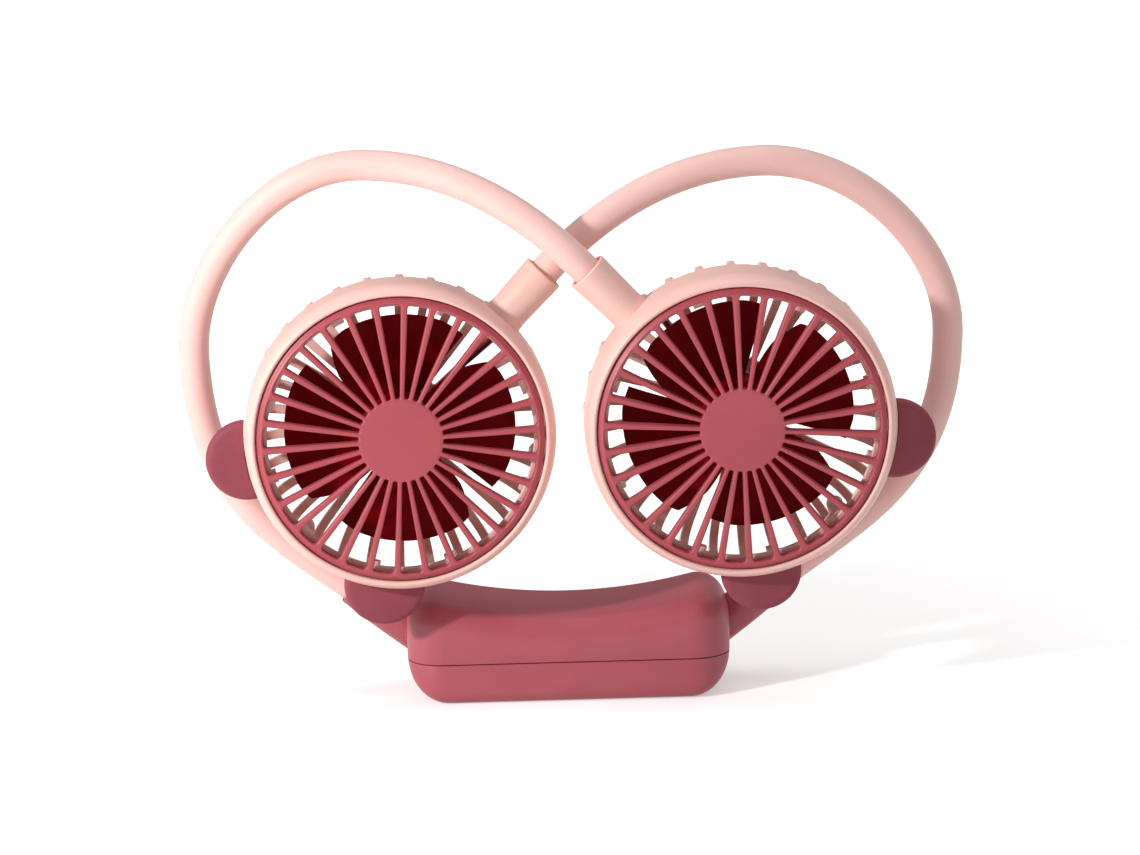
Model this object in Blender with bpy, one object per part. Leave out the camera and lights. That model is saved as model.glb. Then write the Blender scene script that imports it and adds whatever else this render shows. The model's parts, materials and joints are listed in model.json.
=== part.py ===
# A hands-free neck fan that stands on its battery pack, its two bendable arms crossed into a heart.
# Metres, +Z up, the air outlets face -Y. The origin is the middle of the pack's flat underside.

import bpy
import bmesh
import math
from mathutils import Matrix, Vector

# Running clearances
fit_gap = 0.0003            # between pieces that touch
cut_overrun = 0.0010        # how far a cutter reaches past what it cuts

# Battery pack, upper and lower shell
pack_length = 0.0854
pack_depth = 0.0340
pack_waist = 0.0226         # height in the middle of the saddle
saddle_radius = 0.1400      # curve that rests on the neck
pack_foot_radius = 0.0110   # lower corners, seen from the front
pack_shoulder_radius = 0.0060   # upper corners, seen from the front
pack_plan_radius = 0.0080   # corners seen from above
pack_front_edge = 0.0065    # rounding along the upper front edge
pack_back_edge = 0.0040     # rounding along the upper back edge
pack_low_edge = 0.0035      # rounding along the underside
pack_wall = 0.0018
seam_height = 0.0110        # the seam between the shells

# Inside the pack
cell_length = 0.0540
cell_depth = 0.0235
cell_height = 0.0115
cell_edge = 0.0019
board_length = 0.0560
board_thickness = 0.0012
board_height = 0.0142
chip_length = 0.0060
chip_height = 0.0012
chip_place_shares = (0.30, 0.42, -0.42)   # of the board's length, from its middle
switch_width = 0.0060
switch_height = 0.0060
switch_depth = 0.0020

# Controls on the back of the pack
control_height = 0.0142     # their middle above the underside
button_radius = 0.0022
button_travel = 0.0006
button_stand = 0.0008       # how far the cap stands proud
button_lip = 0.0006         # the flange behind the wall
port_width = 0.0090
port_height = 0.0032
port_wall = 0.0004
port_length = 0.0054
port_mouth_share = 0.70     # of the port's length
tongue_width_share = 0.70   # of the port's width
tongue_length_share = 0.60
port_place = 0.0160         # sideways from the button
lens_radius = 0.0011
lens_place = 0.0090         # sideways from the button

# Arm sleeves
sleeve_length = 0.0190      # from the pack's end to the mouth
sleeve_angle = math.radians(37.5)
sleeve_exit = 0.0163        # height of the sleeve's axis at the pack's end
sleeve_set_back = 0.0050    # behind the middle of the pack
sleeve_root_radius = 0.0053
sleeve_mouth_radius = 0.0048
sleeve_spigot_radius = 0.0027
sleeve_spigot_length = 0.0050
seat_lip = 0.0005           # the mouth stays this far behind the ball's centre
seat_depth_share = 0.88     # how much of a quarter ball the seat wraps
sleeve_belly_share = 1 / 6  # of the sleeve's length, where it starts to narrow
spigot_hold_share = 1 / 3   # of the sleeve's length, how far the spigot runs up inside

# Bendable arms
arm_radius = 0.0040
arm_bore_radius = 0.0026
core_radius = 0.0022
left_loop_reach = 0.0962    # widest place of the left arm, from the middle
left_loop_height = 0.0920   # and its height
left_top_height = 0.1424    # highest place
left_top_side = 0.0500
right_loop_reach = 0.1020
right_loop_height = 0.0935
right_top_height = 0.1402
right_top_side = 0.0530
arm_straight = 0.0020       # straight run of the arm outside the collar
wide_depth_share = 0.10     # how far forward the arm has come at its widest place
top_depth_share = 0.42      # and at its highest
wide_lean_share = 0.50      # how much it leans forward at those two places
top_lean_share = 0.60
root_pull_share = 0.37      # how long it keeps its direction past each place
low_pull_share = 0.62
wide_pull_share = 0.49
top_pull_share = 0.52
fall_pull_share = 0.42
end_pull_share = 0.25
ball_end_share = 0.98       # of the ball's depth, where the cover's bore opens
core_end_share = 0.90       # and where the core ends

# Fan heads
head_radius = 0.0400
rim_height = 0.0125         # front plane before the collar's axis
head_back = 0.0145          # back of the cage behind the collar's axis
drum_back = 0.0015          # back of the drum wall behind the collar's axis
drum_wall = 0.0018
rim_round = 0.0025          # how far the rim draws in at the front
rim_taper_depth = 0.0055    # over this depth
grille_recess = 0.0008
ledge_width = 0.0030         # reaches in past the ends of the slots
ledge_height = 0.0012
head_gap = 0.0075           # between the two heads
heads_shift = 0.00185       # the pair hangs a little to the right
left_head_lift = 0.0069     # head rim above the pack's crest
right_head_lift = 0.0086
left_head_stand_off = 0.0035    # back of the head in front of the arm
right_head_stand_off = 0.0077
collar_angle = math.radians(46.2)   # collar above the horizontal
left_head_lean = math.radians(0.0)
right_head_lean = math.radians(3.0)
left_head_turn = math.radians(3.4)
right_head_turn = math.radians(1.3)

# Collar and swivel
collar_radius = 0.00515
collar_bore_radius = 0.0045
collar_length = 0.0155      # mouth, from the outside of the drum
swivel_lip_radius = 0.0034
swivel_lip_place = 0.0026   # its outer face, from the outside of the drum
swivel_lip_thickness = 0.0014
ferrule_radius = 0.0042
ferrule_neck_radius = 0.0031
ferrule_flange = 0.0026
ferrule_shank = 0.0026

# Front grille
grille_ring_width = 0.0024
grille_thickness = 0.0022
spoke_count = 30
spoke_inner_width = 0.0012
spoke_outer_width = 0.0017
hub_disc_radius = 0.01075
slot_corner = 0.0007
left_spoke_turn = math.radians(4.3)     # of a spoke, from the collar
right_spoke_turn = math.radians(-5.7)

# Rear cage
rib_width = 0.0022
rib_root_width = 0.0014
rib_thickness = 0.0020
cage_ring_height = 0.0010
cage_corner_radius = 0.0090
cage_disc_radius = 0.0130
boss_radius = 0.0022
boss_set_in = 0.0033        # boss middle inside the head's radius
boss_height = 0.0062
screw_radius = 0.0008
screw_head_radius = 0.0015
screw_head_height = 0.0010
screw_grip = 0.0050         # how deep the boss in the drum is
screw_crown_share = 0.7     # of the head's radius, its flat top
screw_side_share = 0.6      # of the head's height, its straight side
screw_depth_share = 0.8     # of the drum's boss, how deep it is bored
screw_turn_shares = (1 / 6, 3 / 6, 5 / 6)   # shares of a turn from the collar

# Motor and impeller
motor_radius = 0.0084
motor_foot_radius = 0.0101
motor_edge = 0.0009
bearing_radius = 0.0026
motor_height = 0.0105
shaft_radius = 0.0010
shaft_bore_radius = 0.0013
shaft_start_share = 0.2     # of the motor's height
blade_clearance = 0.0045    # from the blade tips to the screw bosses
impeller_hub_radius = 0.0102
hub_wall = 0.0012
hub_round = 0.0010
hub_height = 0.0088
hub_front = 0.0012          # top of the hub before the collar's axis
blade_count = 4
blade_span = math.radians(76.0)
blade_swirl = math.radians(9.0)
blade_rise = 0.0070
blade_thickness = 0.0011
left_blade_turn = math.radians(45.5)    # where the first blade stands still
right_blade_turn = math.radians(68.5)
tip_round_share = 0.25
tip_round_start_share = 0.6
tip_drop_share = 0.14
tip_drop_start_share = 0.7
blade_flat_share = 0.25
lead_radius = 0.0007
lead_turn_shares = (0.3, 0.7)               # of half a rib's pitch, as it crosses to the rib
lead_bend_shares = (0.35, 0.6, 0.8, 1.0)    # of the quarter turn round the cage's corner

# Half-disc bumpers
ear_radius = 0.0105
ear_thickness = 0.0045
ear_round = 0.0022
ear_angle = math.radians(37.0)      # from the side opposite the collar
ear_set_back = 0.0055       # front of the bumper behind the head's front plane

# Facets of the round pieces
pack_steps = (3, 4, 6)      # round an edge, round an end and along the middle
hollow_steps = (2, 3, 6)
port_steps = 6
seat_steps = 3
ball_steps = 4
round_steps = 2
lead_sides = 6
drum_sides = 36
collar_sides = 16
post_sides = 8
hub_sides = 18
ear_sides = 20
motor_sides = 16
blade_steps = (5, 3)        # across and along a blade
sleeve_sides = 14
arm_sides = 10
core_sides = 5
cage_corner_steps = 3
rim_steps = 3

# Worked out from the sizes above
pack_half = pack_length / 2
pack_crest = pack_waist + saddle_radius - math.sqrt(saddle_radius ** 2 - (pack_half - pack_shoulder_radius) ** 2)
sleeve_way = Vector((math.cos(sleeve_angle), 0, math.sin(sleeve_angle)))
sleeve_root_run = sleeve_root_radius * math.tan(sleeve_angle) + cut_overrun
grille_radius = head_radius - rim_round - fit_gap * 2
slot_reach = grille_radius - grille_ring_width
cage_front = -drum_back - fit_gap
collar_reach = head_radius + collar_length
swivel_lip_reach = head_radius + swivel_lip_place
screw_reach = head_radius - boss_set_in
impeller_radius = screw_reach - boss_radius - blade_clearance
screw_depth = screw_grip * screw_depth_share
disc_inside = -head_back + rib_thickness
ferrule_start = swivel_lip_reach - swivel_lip_thickness - fit_gap - ferrule_flange
cover_end = swivel_lip_reach + ferrule_shank + fit_gap * 2
hub_ceiling = hub_front - hub_wall
motor_seat = disc_inside + fit_gap
shaft_start = motor_seat + motor_height * shaft_start_share
arm_front = sleeve_set_back - arm_radius

bronze = (0.55, 0.42, 0.28)
steel = (0.62, 0.62, 0.64)
pale_pink = (0.91, 0.60, 0.54)
dusty_rose = (0.52, 0.15, 0.19)
burgundy = (0.16, 0.008, 0.02)


# Objects, materials and booleans

def clearScene():
    for thing in list(bpy.data.objects):
        bpy.data.objects.remove(thing, do_unlink=True)


def makeMaterial(name, colour, roughness, metallic):
    material = bpy.data.materials.new(name)
    material.use_nodes = True
    shader = material.node_tree.nodes["Principled BSDF"]
    shader.inputs["Base Color"].default_value = (*colour, 1)
    shader.inputs["Roughness"].default_value = roughness
    shader.inputs["Metallic"].default_value = metallic
    return material


def addObject(name, bm, parent):
    bmesh.ops.recalc_face_normals(bm, faces=bm.faces)
    mesh = bpy.data.meshes.new(name)
    bm.to_mesh(mesh)
    bm.free()
    thing = bpy.data.objects.new(name, mesh)
    bpy.context.scene.collection.objects.link(thing)
    thing.parent = parent
    return thing


def addPiece(name, bm, parent, colour, roughness=0.45, metallic=0.0, sharp_angle=35):
    piece = addObject(name, bm, parent)
    piece.data.shade_smooth()
    piece.data.set_sharp_from_angle(angle=math.radians(sharp_angle))
    piece.data.materials.append(makeMaterial(name, colour, roughness, metallic))
    return piece


def addTool(name, bm, parent):
    tool = addObject(name, bm, parent)
    tool.hide_render = True
    tool.display_type = "WIRE"
    return tool


def addFrame(name, matrix):
    frame = bpy.data.objects.new(name, None)
    bpy.context.scene.collection.objects.link(frame)
    frame.matrix_world = matrix
    return frame


def shape(piece, tool, operation):
    step = piece.modifiers.new(operation.lower(), "BOOLEAN")
    step.operation = operation
    step.solver = "EXACT"
    step.object = tool


# Turned, swept and lofted bodies

def bridge(bm, first, second):
    count = len(first)
    for i in range(count):
        j = (i + 1) % count
        bm.faces.new((first[i], first[j], second[j], second[i]))


def turn(bm, profile, sides, matrix=Matrix(), closed=False):
    """Turns a profile of (radius, height) about Z. An open one starts and ends on flat faces."""
    rings = []
    for radius, height in profile:
        ring = []
        for i in range(sides):
            angle = math.tau * i / sides
            place = Vector((radius * math.cos(angle), radius * math.sin(angle), height))
            ring.append(bm.verts.new(matrix @ place))
        rings.append(ring)
    for first, second in zip(rings, rings[1:]):
        bridge(bm, first, second)
    if closed:
        bridge(bm, rings[-1], rings[0])
    else:
        bm.faces.new(rings[0])
        bm.faces.new(rings[-1])


def routeFrames(points):
    """A direction and two turned-along side vectors for each point of a route."""
    frames = []
    side = None
    for i, point in enumerate(points):
        ahead = points[min(i + 1, len(points) - 1)]
        behind = points[max(i - 1, 0)]
        way = (ahead - behind).normalized()
        if side is None:
            side = way.orthogonal().normalized()
        side = (side - way * side.dot(way)).normalized()
        frames.append((point, way, side, way.cross(side)))
    return frames


def sweepRing(bm, frame, radius, sides, slide=0.0):
    point, way, side, other = frame
    ring = []
    for i in range(sides):
        angle = math.tau * i / sides
        spoke = side * math.cos(angle) + other * math.sin(angle)
        ring.append(bm.verts.new(point + way * slide + spoke * radius))
    return ring


def roundedBlock(bm, size, middle):
    made = bmesh.ops.create_cube(bm, size=1.0)
    for vert in made["verts"]:
        vert.co = Vector((vert.co.x * size[0], vert.co.y * size[1], vert.co.z * size[2])) + Vector(middle)
    return made["verts"]


def alongAxis(place, way):
    """Matrix that puts local Z along a direction at a place."""
    return Matrix.Translation(place) @ way.to_track_quat("Z", "Y").to_matrix().to_4x4()


# The pack's outer form, offset by grow for its inside and for what meets it

def cornerDrop(reach, half, radius):
    over = max(0.0, reach - (half - radius))
    return radius - math.sqrt(max(0.0, radius ** 2 - over ** 2))


def packSection(x, grow, steps):
    half = pack_half + grow
    reach = abs(x)
    saddle = saddle_radius - grow
    top = pack_waist + saddle_radius - math.sqrt(saddle ** 2 - x ** 2)
    top -= cornerDrop(reach, half, pack_shoulder_radius + grow)
    low = -grow + cornerDrop(reach, half, pack_foot_radius + grow)
    deep = pack_depth / 2 + grow - cornerDrop(reach, half, pack_plan_radius + grow)
    edges = [pack_back_edge + grow, pack_front_edge + grow, pack_low_edge + grow, pack_low_edge + grow]
    room = min(1.0, (top - low) / (pack_front_edge + pack_low_edge + grow * 2))
    corners = [(deep, top, -1, -1), (-deep, top, 1, -1), (-deep, low, 1, 1), (deep, low, -1, 1)]
    points = []
    for turn_count, ((y, z, inward_y, inward_z), edge) in enumerate(zip(corners, edges)):
        edge = edge * room
        centre_y = y + inward_y * edge
        centre_z = z + inward_z * edge
        for k in range(steps + 1):
            angle = math.pi / 2 * (turn_count + k / steps)
            points.append(Vector((x, centre_y + edge * math.cos(angle), centre_z + edge * math.sin(angle))))
    return points


def packForm(grow, steps, end_steps, middle_steps):
    bm = bmesh.new()
    half = pack_half + grow
    foot = pack_foot_radius + grow
    stations = []
    for k in range(end_steps + 1):
        stations.append(half - foot + foot * math.sin(math.pi / 2 * (1 - k / end_steps)))
    places = stations[:-1] + [(half - foot) * (1 - 2 * k / middle_steps) for k in range(middle_steps + 1)]
    places += [-x for x in reversed(stations[:-1])]
    rings = [[bm.verts.new(point) for point in packSection(x, grow, steps)] for x in places]
    for first, second in zip(rings, rings[1:]):
        bridge(bm, first, second)
    bm.faces.new(rings[0])
    bm.faces.new(rings[-1])
    return bm


def slabBetween(low, high):
    bm = bmesh.new()
    size = (pack_length * 2, pack_depth * 2, high - low)
    roundedBlock(bm, size, (0, 0, (high + low) / 2))
    return bm


def sleeveMatrix(side):
    place = Vector((side * pack_half, sleeve_set_back, sleeve_exit))
    way = Vector((side * sleeve_way.x, 0, sleeve_way.z))
    return alongAxis(place, way)


def armRoot(side):
    way = Vector((side * sleeve_way.x, 0, sleeve_way.z))
    return Vector((side * pack_half, sleeve_set_back, sleeve_exit)) + way * sleeve_length


# Battery pack

def makePack():
    hollow = addTool("pack_hollow", packForm(-pack_wall, *hollow_steps), None)
    upper_slab = addTool("upper_slab", slabBetween(seam_height + fit_gap / 2, pack_crest * 2), None)
    lower_slab = addTool("lower_slab", slabBetween(-cut_overrun, seam_height - fit_gap / 2), None)
    upper = addPiece("pack_upper_shell", packForm(0, *pack_steps), None, dusty_rose)
    lower = addPiece("pack_lower_shell", packForm(0, *pack_steps), None, dusty_rose)
    shape(upper, hollow, "DIFFERENCE")
    shape(upper, upper_slab, "INTERSECT")
    shape(lower, hollow, "DIFFERENCE")
    shape(lower, lower_slab, "INTERSECT")
    holes = bmesh.new()
    for side in (-1, 1):
        reach = pack_wall * 3
        ends = [(sleeve_spigot_radius + fit_gap, -reach), (sleeve_spigot_radius + fit_gap, reach)]
        turn(holes, ends, sleeve_sides, sleeveMatrix(side))
    back = pack_depth / 2
    for x, radius in ((0, button_radius), (lens_place, lens_radius)):
        matrix = alongAxis(Vector((x, back, control_height)), Vector((0, 1, 0)))
        ends = [(radius + fit_gap, -pack_wall * 2), (radius + fit_gap, cut_overrun)]
        turn(holes, ends, collar_sides, matrix)
    portBody(holes, fit_gap, back - pack_wall * 2, back + cut_overrun)
    shape(upper, addTool("upper_holes", holes, None), "DIFFERENCE")


def portBody(bm, grow, start, end):
    radius = port_height / 2 + grow
    straight = port_width / 2 - port_height / 2
    rings = []
    for y in (start, end):
        ring = []
        for side in (1, -1):
            for k in range(port_steps + 1):
                angle = math.pi * (k / port_steps - 0.5) + (0 if side == 1 else math.pi)
                x = -port_place + side * straight + radius * math.cos(angle)
                ring.append(bm.verts.new((x, y, control_height + radius * math.sin(angle))))
        rings.append(ring)
    bridge(bm, rings[0], rings[1])
    bm.faces.new(rings[0])
    bm.faces.new(rings[1])


def makePackInside():
    inside = -pack_depth / 2 + pack_wall + fit_gap
    floor = pack_wall + fit_gap
    bm = bmesh.new()
    roundedBlock(bm, (cell_length, cell_depth, cell_height), (0, inside + cell_depth / 2, floor + cell_height / 2))
    cell = addPiece("battery_cell", bm, None, (0.12, 0.25, 0.55), 0.4)
    edge = cell.modifiers.new("edges", "BEVEL")
    edge.width = cell_edge
    edge.segments = 2
    board_front = inside + cell_depth + fit_gap
    board_back = board_front + board_thickness
    bm = bmesh.new()
    size = (board_length, board_thickness, board_height)
    roundedBlock(bm, size, (0, board_front + board_thickness / 2, floor + board_height / 2))
    board = addPiece("control_board", bm, None, (0.02, 0.18, 0.07), 0.5)
    parts = bmesh.new()
    sunk = board_thickness / 2
    size = (switch_width, switch_depth + sunk, switch_height)
    roundedBlock(parts, size, (0, board_back + switch_depth / 2 - sunk / 2, control_height))
    size = (lens_radius * 2, switch_depth + sunk, lens_radius * 2)
    roundedBlock(parts, size, (lens_place, board_back + switch_depth / 2 - sunk / 2, control_height))
    for share in chip_place_shares:
        size = (chip_length, chip_height + sunk, chip_length)
        middle = (board_length * share, board_back + chip_height / 2 - sunk / 2, floor + board_height / 2)
        roundedBlock(parts, size, middle)
    shape(board, addTool("board_parts", parts, None), "UNION")
    return board_back


def makeControls(board_back):
    back = pack_depth / 2
    wall_inside = back - pack_wall
    centre = Vector((0, back, control_height))
    bm = bmesh.new()
    inner_end = board_back + switch_depth + button_travel + fit_gap
    lip_back = wall_inside - fit_gap
    rounding = button_stand / 2
    profile = [
        (button_radius, inner_end - back),
        (button_radius + button_lip, inner_end - back),
        (button_radius + button_lip, lip_back - back),
        (button_radius, lip_back - back),
        (button_radius, button_stand - rounding),
        (button_radius - rounding, button_stand),
    ]
    turn(bm, profile, collar_sides, alongAxis(centre, Vector((0, 1, 0))))
    addPiece("power_button", bm, None, pale_pink, 0.4)
    bm = bmesh.new()
    ends = [
        (lens_radius, board_back + switch_depth + fit_gap - back),
        (lens_radius, -rounding / 2),
        (lens_radius - rounding / 2, 0),
    ]
    centre = Vector((lens_place, back, control_height))
    turn(bm, ends, post_sides, alongAxis(centre, Vector((0, 1, 0))))
    addPiece("indicator_lens", bm, None, (0.9, 0.9, 0.88), 0.2)
    bm = bmesh.new()
    port_end = back - fit_gap
    portBody(bm, 0, board_back + fit_gap, port_end)
    port = addPiece("charge_port", bm, None, steel, 0.3, 1.0)
    mouth = bmesh.new()
    portBody(mouth, -port_wall, port_end - port_length * port_mouth_share, port_end + cut_overrun)
    shape(port, addTool("port_mouth", mouth, None), "DIFFERENCE")
    tongue = bmesh.new()
    tongue_length = port_length * tongue_length_share
    size = (port_width * tongue_width_share, tongue_length, port_wall * 2)
    tongue_start = port_end - port_length * port_mouth_share - port_wall
    middle = (-port_place, tongue_start + tongue_length / 2, control_height)
    roundedBlock(tongue, size, middle)
    shape(port, addTool("port_tongue", tongue, None), "UNION")


def makeSleeve(name, side, outer_form):
    matrix = sleeveMatrix(side)
    mouth = sleeve_length - seat_lip
    lip = (sleeve_mouth_radius - arm_radius - fit_gap) / 2
    seat_radius = arm_radius + fit_gap
    bm = bmesh.new()
    profile = [
        (sleeve_root_radius, -sleeve_root_run),
        (sleeve_root_radius, sleeve_length * sleeve_belly_share),
        ((sleeve_root_radius + sleeve_mouth_radius) / 2, sleeve_length / 2),
        (sleeve_mouth_radius, mouth - lip),
        (sleeve_mouth_radius - lip, mouth),
    ]
    for k in range(seat_steps + 1):
        angle = math.asin(seat_lip / seat_radius) + math.pi / 2 * seat_depth_share * k / seat_steps
        profile.append((seat_radius * math.cos(angle), sleeve_length - seat_radius * math.sin(angle)))
    turn(bm, profile, sleeve_sides, matrix)
    sleeve = addPiece(name, bm, None, dusty_rose)
    shape(sleeve, outer_form, "DIFFERENCE")
    spigot = bmesh.new()
    ends = [(sleeve_spigot_radius, -sleeve_spigot_length), (sleeve_spigot_radius, sleeve_length * spigot_hold_share)]
    turn(spigot, ends, sleeve_sides, matrix)
    shape(sleeve, addTool(name + "_spigot", spigot, None), "UNION")


# Bendable arms

def curvePoints(start, start_pull, end_pull, end, count):
    points = []
    for k in range(count):
        t = k / count
        s = 1 - t
        point = start * s ** 3 + start_pull * 3 * s * s * t + end_pull * 3 * s * t * t + end * t ** 3
        points.append(point)
    return points


def armRoute(side, reach, reach_height, top_height, top_side, head):
    """From the ball in the sleeve, out and up round the loop, over the top and down into the collar."""
    root = armRoot(side)
    root_way = Vector((side * sleeve_way.x, 0, sleeve_way.z))
    collar_way = (head @ Vector((0, 1, 0)) - head.translation).normalized()
    leave = head.translation + collar_way * (collar_reach + arm_straight)
    depth = leave.y - root.y
    wide = Vector((side * reach, root.y + depth * wide_depth_share, reach_height))
    top = Vector((side * top_side, root.y + depth * top_depth_share, top_height))
    rise = wide.z - root.z
    over = top.z - wide.z
    across = abs(wide.x - top.x)
    last = (top - leave).length
    up = Vector((0, depth * wide_lean_share / top.z, 1)).normalized()
    inward = Vector((-side, depth * top_lean_share / reach, 0)).normalized()
    points = curvePoints(root, root + root_way * rise * root_pull_share, wide - up * rise * low_pull_share, wide, 7)
    points += curvePoints(wide, wide + up * over * wide_pull_share, top - inward * across * top_pull_share, top, 6)
    points += curvePoints(top, top + inward * last * fall_pull_share, leave + collar_way * last * end_pull_share,
                          leave, 7)
    points += [leave, head.translation + collar_way * cover_end]
    return points


def makeArm(name, route, pivot):
    local = [pivot.matrix_world.inverted() @ point for point in route]
    frames = routeFrames(local)
    bm = bmesh.new()
    deepest = math.acos(arm_bore_radius / arm_radius)
    ball = []
    for k in range(ball_steps):
        angle = deepest * (1 - k / ball_steps)
        ball.append(sweepRing(bm, frames[0], arm_radius * math.cos(angle), arm_sides, -arm_radius * math.sin(angle)))
    outer = ball + [sweepRing(bm, frame, arm_radius, arm_sides) for frame in frames]
    depth = arm_radius * math.sin(deepest)
    bore_start = sweepRing(bm, frames[0], arm_bore_radius, core_sides, -depth * ball_end_share)
    bore = [bore_start] + [sweepRing(bm, frame, arm_bore_radius, core_sides) for frame in frames]
    for rings in (outer, bore):
        for first, second in zip(rings, rings[1:]):
            bridge(bm, first, second)
    closeAnnulus(bm, outer[0], bore[0])
    closeAnnulus(bm, outer[-1], bore[-1])
    addPiece(name + "_cover", bm, pivot, pale_pink, 0.5)
    bm = bmesh.new()
    rod = [sweepRing(bm, frames[0], core_radius, core_sides, -depth * core_end_share)]
    rod += [sweepRing(bm, frame, core_radius, core_sides) for frame in frames]
    for first, second in zip(rod, rod[1:]):
        bridge(bm, first, second)
    bm.faces.new(rod[0])
    bm.faces.new(rod[-1])
    addPiece(name + "_core", bm, pivot, steel, 0.35, 1.0)


def closeAnnulus(bm, outer, inner):
    """Fills between two rings whose side counts are a whole multiple apart."""
    fold = len(outer) // len(inner)
    count = len(inner)
    for i in range(count):
        j = (i + 1) % count
        run = [outer[(i * fold + k) % len(outer)] for k in range(fold + 1)]
        bm.faces.new(run + [inner[j], inner[i]])


# Slotted round shells: the front grille and the rear cage

def slottedShell(layers, count, phase):
    """Each layer is (rings, rails). A ring is (radius, height) outside the slots. A rail is (radius, height,
    half_width): a pair of places beside a spoke, from the slots' outer ends in. The first layer faces out."""
    bm = bmesh.new()
    pitch = math.tau / count
    made = []
    for rings, rails in layers:
        spread = math.asin(rails[0][2] / rails[0][0])
        ringVerts = []
        for radius, height in rings:
            row = []
            for k in range(count):
                for sign in (-1, 1):
                    angle = phase + pitch * k + sign * spread
                    row.append(bm.verts.new((radius * math.cos(angle), radius * math.sin(angle), height)))
            ringVerts.append(row)
        railVerts = []
        for radius, height, half in rails:
            row = []
            for k in range(count):
                for sign in (-1, 1):
                    angle = phase + pitch * k + sign * math.asin(half / radius)
                    row.append(bm.verts.new((radius * math.cos(angle), radius * math.sin(angle), height)))
            railVerts.append(row)
        made.append((ringVerts, railVerts))
    total = count * 2
    for ringVerts, railVerts in (made[0], made[-1]):
        rows = ringVerts + [railVerts[0]]
        for first, second in zip(rows, rows[1:]):
            bridge(bm, first, second)
        for first, second in zip(railVerts, railVerts[1:]):
            for k in range(count):
                bm.faces.new((first[2 * k], first[2 * k + 1], second[2 * k + 1], second[2 * k]))
        bm.faces.new(railVerts[-1])
    for (ringsA, railsA), (ringsB, railsB) in zip(made, made[1:]):
        bridge(bm, ringsA[0], ringsB[0])
        for j in range(len(railsA) - 1):
            for k in range(total):
                bm.faces.new((railsA[j][k], railsA[j + 1][k], railsB[j + 1][k], railsB[j][k]))
        for end in (0, -1):
            for k in range(count):
                a = 2 * k + 1
                b = (2 * k + 2) % total
                bm.faces.new((railsA[end][a], railsA[end][b], railsB[end][b], railsB[end][a]))
    return bm


def makeGrille(name, head, phase):
    top = rim_height - grille_recess
    slot_root = hub_disc_radius + slot_corner
    layers = []
    for z in (top, top - grille_thickness):
        rails = [
            (slot_reach, z, spoke_outer_width / 2 + slot_corner),
            (slot_reach - slot_corner, z, spoke_outer_width / 2),
            (slot_root, z, spoke_inner_width / 2),
        ]
        layers.append(([(grille_radius, z)], rails))
    addPiece(name, slottedShell(layers, spoke_count, phase), head, dusty_rose, 0.45)


def makeHousing(name, head, screw_places):
    seat = grille_radius + fit_gap
    ledge = rim_height - grille_recess - grille_thickness - fit_gap
    inner = head_radius - drum_wall
    round_centre = head_radius - rim_round
    profile = [(head_radius, -drum_back)]
    for k in range(rim_steps + 1):
        angle = math.pi / 2 * k / rim_steps
        radius = round_centre + rim_round * math.cos(angle)
        profile.append((radius, rim_height - rim_taper_depth + rim_taper_depth * math.sin(angle)))
    profile += [
        (seat, rim_height - fit_gap),
        (seat, ledge),
        (seat - ledge_width, ledge),
        (seat - ledge_width, ledge - ledge_height),
        (inner, ledge - ledge_height),
        (inner, -drum_back),
    ]
    bm = bmesh.new()
    turn(bm, profile, drum_sides, closed=True)
    housing = addPiece(name, bm, head, pale_pink)
    collar_axis = alongAxis(Vector((0, 0, 0)), Vector((0, 1, 0)))
    added = bmesh.new()
    lip = (collar_radius - collar_bore_radius) / 2
    ends = [
        (collar_radius, inner - cut_overrun),
        (collar_radius, collar_reach - lip),
        (collar_radius - lip, collar_reach),
    ]
    turn(added, ends, collar_sides, collar_axis)
    shape(housing, addTool(name + "_collar", added, head), "UNION")
    posts = bmesh.new()
    for x, y in screw_places:
        ends = [(boss_radius, -drum_back), (boss_radius, screw_grip)]
        turn(posts, ends, post_sides, Matrix.Translation((x, y, 0)))
    shape(housing, addTool(name + "_posts", posts, head), "UNION")
    bores = bmesh.new()
    profile = [
        (collar_bore_radius, inner - cut_overrun * 2),
        (collar_bore_radius, swivel_lip_reach - swivel_lip_thickness),
        (swivel_lip_radius, swivel_lip_reach - swivel_lip_thickness),
        (swivel_lip_radius, swivel_lip_reach),
        (collar_bore_radius, swivel_lip_reach),
        (collar_bore_radius, collar_reach + cut_overrun),
    ]
    turn(bores, profile, collar_sides, collar_axis)
    for x, y in screw_places:
        ends = [(screw_radius + fit_gap, -drum_back - cut_overrun), (screw_radius + fit_gap, screw_depth)]
        turn(bores, ends, post_sides, Matrix.Translation((x, y, 0)))
    shape(housing, addTool(name + "_bores", bores, head), "DIFFERENCE")


def cageSurface(thickness):
    """Places (radius, height) from the front ring round the corner to the back disc."""
    corner = cage_corner_radius - thickness
    centre_radius = head_radius - cage_corner_radius
    centre_height = -head_back + cage_corner_radius
    points = []
    for k in range(cage_corner_steps + 1):
        angle = math.pi / 2 * k / cage_corner_steps
        points.append((centre_radius + corner * math.cos(angle), centre_height - corner * math.sin(angle)))
    return points


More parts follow.
